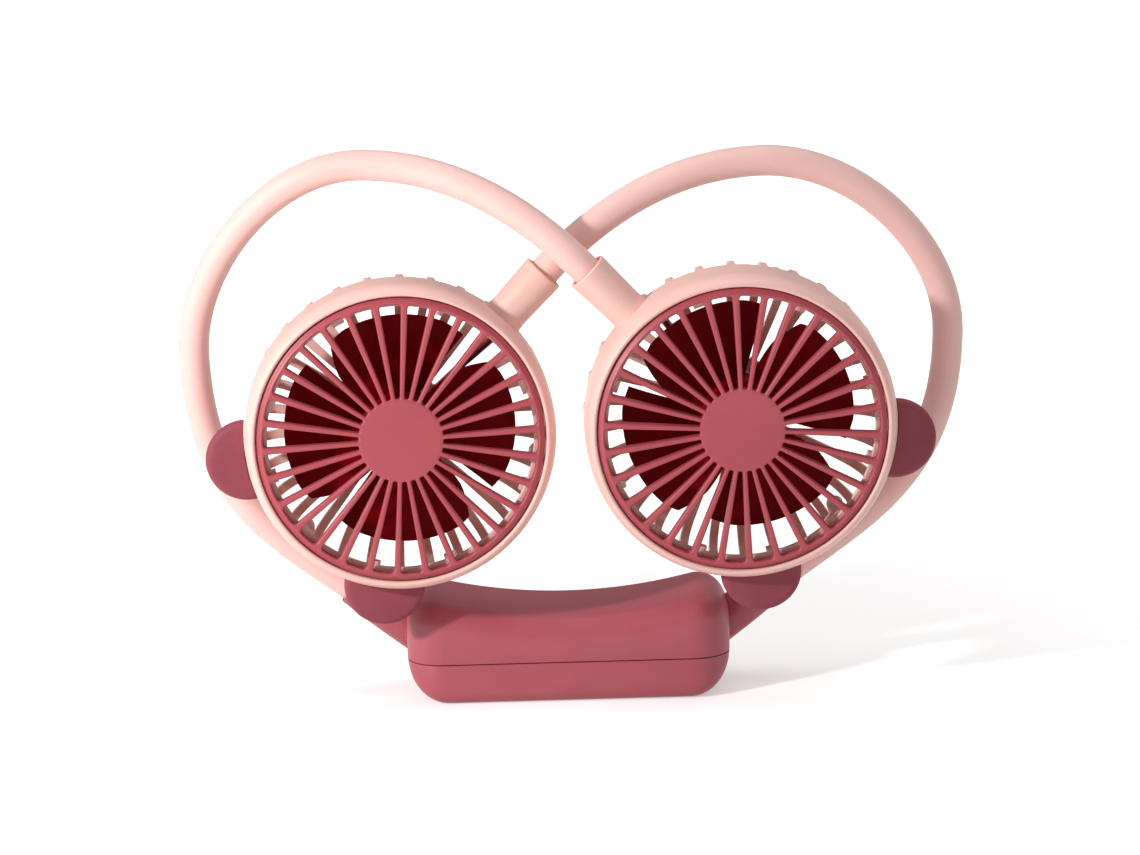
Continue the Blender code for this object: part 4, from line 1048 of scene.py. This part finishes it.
def makeLeads():
    # red and black wires side by side, down one rib from the collar to the motor's foot
    g = cage
    rib = math.pi / g["ribs"]
    bend = g["corner"] - g["thickness"] - lead["space"] - 0.6 * mm
    centreRadius = drum["radius"] - g["corner"]
    centreHeight = g["back"] + g["corner"]
    entry = drum["radius"] - drum["wall"] - 1.0 * mm - lead["space"] * 2
    path = [
        Vector((0, ferrule["start"] - 0.3 * mm, 0)),
        Vector((0, entry + lead["space"], -lead["space"] / 3)),
        Vector((entry * math.sin(rib * 0.3), entry, -collar["radius"] / 2)),
        Vector((entry * math.sin(rib * 0.7), entry, -collar["radius"])),
    ]
    end = motor["foot"] + lead["space"] + 0.3 * mm
    inside = [(centreRadius + bend * math.cos(angle), centreHeight - bend * math.sin(angle))
              for angle in (math.pi / 2 * share for share in (0.35, 0.6, 0.8, 1.0))]
    inside += [((centreRadius + end) / 2, centreHeight - bend), (end, centreHeight - bend)]
    path += [Vector((radius * math.sin(rib), radius * math.cos(rib), z)) for radius, z in inside]
    smooth = []
    for i in range(len(path) - 1):
        before, start = path[max(i - 1, 0)], path[i]
        finish, after = path[i + 1], path[min(i + 2, len(path) - 1)]
        smooth += curvePoints(start, start + (finish - before) / 6, finish - (after - start) / 6, finish, 6)
    smooth.append(path[-1])
    for side in sideSigns:
        for colour, shift in (("red", -1), ("black", 1)):
            points = [heads[side] @ (point + Vector((shift * lead["radius"], 0, 0))) for point in smooth]
            piece = newPiece(f"{side}_motor_wire_{colour}", tube(points, [lead["radius"]] * len(points), 12))
            node = f"{side}_head_motor_lead" if colour == "red" else None
            settle(piece, colour + "Wire", f"{side}_head", node, 60)


def dressHiddenPieces():
    hidden = {"battery_cell": "foil", "control_board": "board"}
    for side in sideSigns:
        hidden[f"{side}_arm_core"] = "wound"
        hidden[f"{side}_head_motor_shaft"] = "nickel"
    for node, finish in hidden.items():
        coat(frame["nodes"][node], finish)


# Studio

studio = {
    "target": (2.003 * mm, -21.5 * mm, 74.918 * mm),
    "distance": 0.9,
    "elevation": math.radians(12.0),
    "roll": math.radians(1.6),
    "lens": 110.487,
    "lamps": {          # degrees round from the camera, minus to its left; degrees up; distance, size, power
        "key": (-56, 20, 0.55, 0.05, 2.45),
        "top": (0, 88, 1.4, 1.2, 5.0),
        "top back": (120, 50, 1.4, 1.2, 3.4),
        "right fill": (62, 18, 1.4, 1.2, 1.1),
    },
    "air": "#F3F4F7",
    "airStrength": 0.32,
    "floor": "#F4F2F1",
    "floorGlow": {"From Min": 0.12, "From Max": 0.60, "To Min": 0.38, "To Max": 0.95},
}


def placeCamera():
    s = studio
    back = Vector((0, -math.cos(s["elevation"]), math.sin(s["elevation"])))
    level = Vector((1, 0, 0))
    upright = back.cross(level)
    right = level * math.cos(s["roll"]) - upright * math.sin(s["roll"])
    up = level * math.sin(s["roll"]) + upright * math.cos(s["roll"])
    camera = addObject("camera", bpy.data.cameras.new("camera"))
    turned = Matrix((right, up, back)).transposed().to_4x4()
    camera.matrix_world = Matrix.Translation(Vector(s["target"]) + back * s["distance"]) @ turned
    camera.data.lens = s["lens"]
    camera.data.sensor_width = 36
    bpy.context.scene.camera = camera


def addLamp(name, azimuth, elevation, distance, size, energy):
    a, e = math.radians(azimuth), math.radians(elevation)
    way = Vector((math.sin(a) * math.cos(e), -math.cos(a) * math.cos(e), math.sin(e)))
    data = bpy.data.lights.new(name, "AREA")
    data.shape = "DISK"
    data.size = size
    data.energy = energy
    addObject(name, data).matrix_world = alongAxis(Vector(studio["target"]) + way * distance, way)


def seenBy(tree, first, *others):
    # 1 for these kinds of ray and 0 for the rest, which carry the light that falls on the fan
    path = addNode(tree, "LightPath")
    seen = path.outputs[first]
    for kind in others:
        seen = addNode(tree, "Math", {"operation": "MAXIMUM"}, {0: seen, 1: path.outputs[kind]}).outputs[0]
    return seen


def makeAir():
    # a plain dim room for the fan, and white to the camera
    world = bpy.data.worlds.new("studio air")
    bpy.context.scene.world = world
    tree = clearedTree(world)
    room = addNode(tree, "Background", {"Color": hexColour(studio["air"]), "Strength": studio["airStrength"]})
    white = addNode(tree, "Background", {"Color": (1, 1, 1, 1), "Strength": 1.0})
    seen = seenBy(tree, "Is Camera Ray", "Is Transmission Ray")
    mix = addNode(tree, "MixShader", None, {0: seen, 1: room.outputs[0], 2: white.outputs[0]})
    addNode(tree, "OutputWorld", None, {"Surface": mix.outputs[0]})


def paperFloor():
    # matt paper: the lamps light it and the fan shades it, and to the camera it also glows up to white,
    # less near the fan, where its shadow falls
    material = bpy.data.materials.new("Background paper")
    tree = clearedTree(material)
    paper = addNode(tree, "BsdfDiffuse", {"Color": hexColour(studio["floor"])})
    seen = seenBy(tree, "Is Camera Ray", "Is Glossy Ray", "Is Transmission Ray")
    place = addNode(tree, "TexCoord").outputs["Object"]
    away = addNode(tree, "VectorMath", {"operation": "LENGTH"}, {0: place})
    ramp = addNode(tree, "MapRange", studio["floorGlow"], {"Value": away.outputs["Value"]})
    strength = addNode(tree, "Math", {"operation": "MULTIPLY"}, {0: seen, 1: ramp.outputs[0]})
    glow = addNode(tree, "Emission", {"Color": (1, 1, 1, 1)}, {"Strength": strength.outputs[0]})
    both = addNode(tree, "AddShader", None, {0: paper.outputs[0], 1: glow.outputs[0]})
    addNode(tree, "OutputMaterial", None, {"Surface": both.outputs[0]})
    return material


def makeStudio():
    placeCamera()
    for name, settings in studio["lamps"].items():
        addLamp(name, *settings)
    makeAir()
    bm = bmesh.new()
    bmesh.ops.create_grid(bm, x_segments=1, y_segments=1, size=30)
    floor = newPiece("floor", bm)
    floor.location.z = cadBox[0].z
    floor.data.materials.append(paperFloor())


makeStudio()
print("studio ready")
makePack()
for side in sideSigns:
    makeSleeve(side)
makeControls()
for side in sideSigns:
    makeArm(side)
for side in sideSigns:
    makeFerrule(side)
print("arms built")
makeHeads()
makeLeads()
dressHiddenPieces()

bpy.context.scene.view_settings.view_transform = "Standard"
print("finishing")
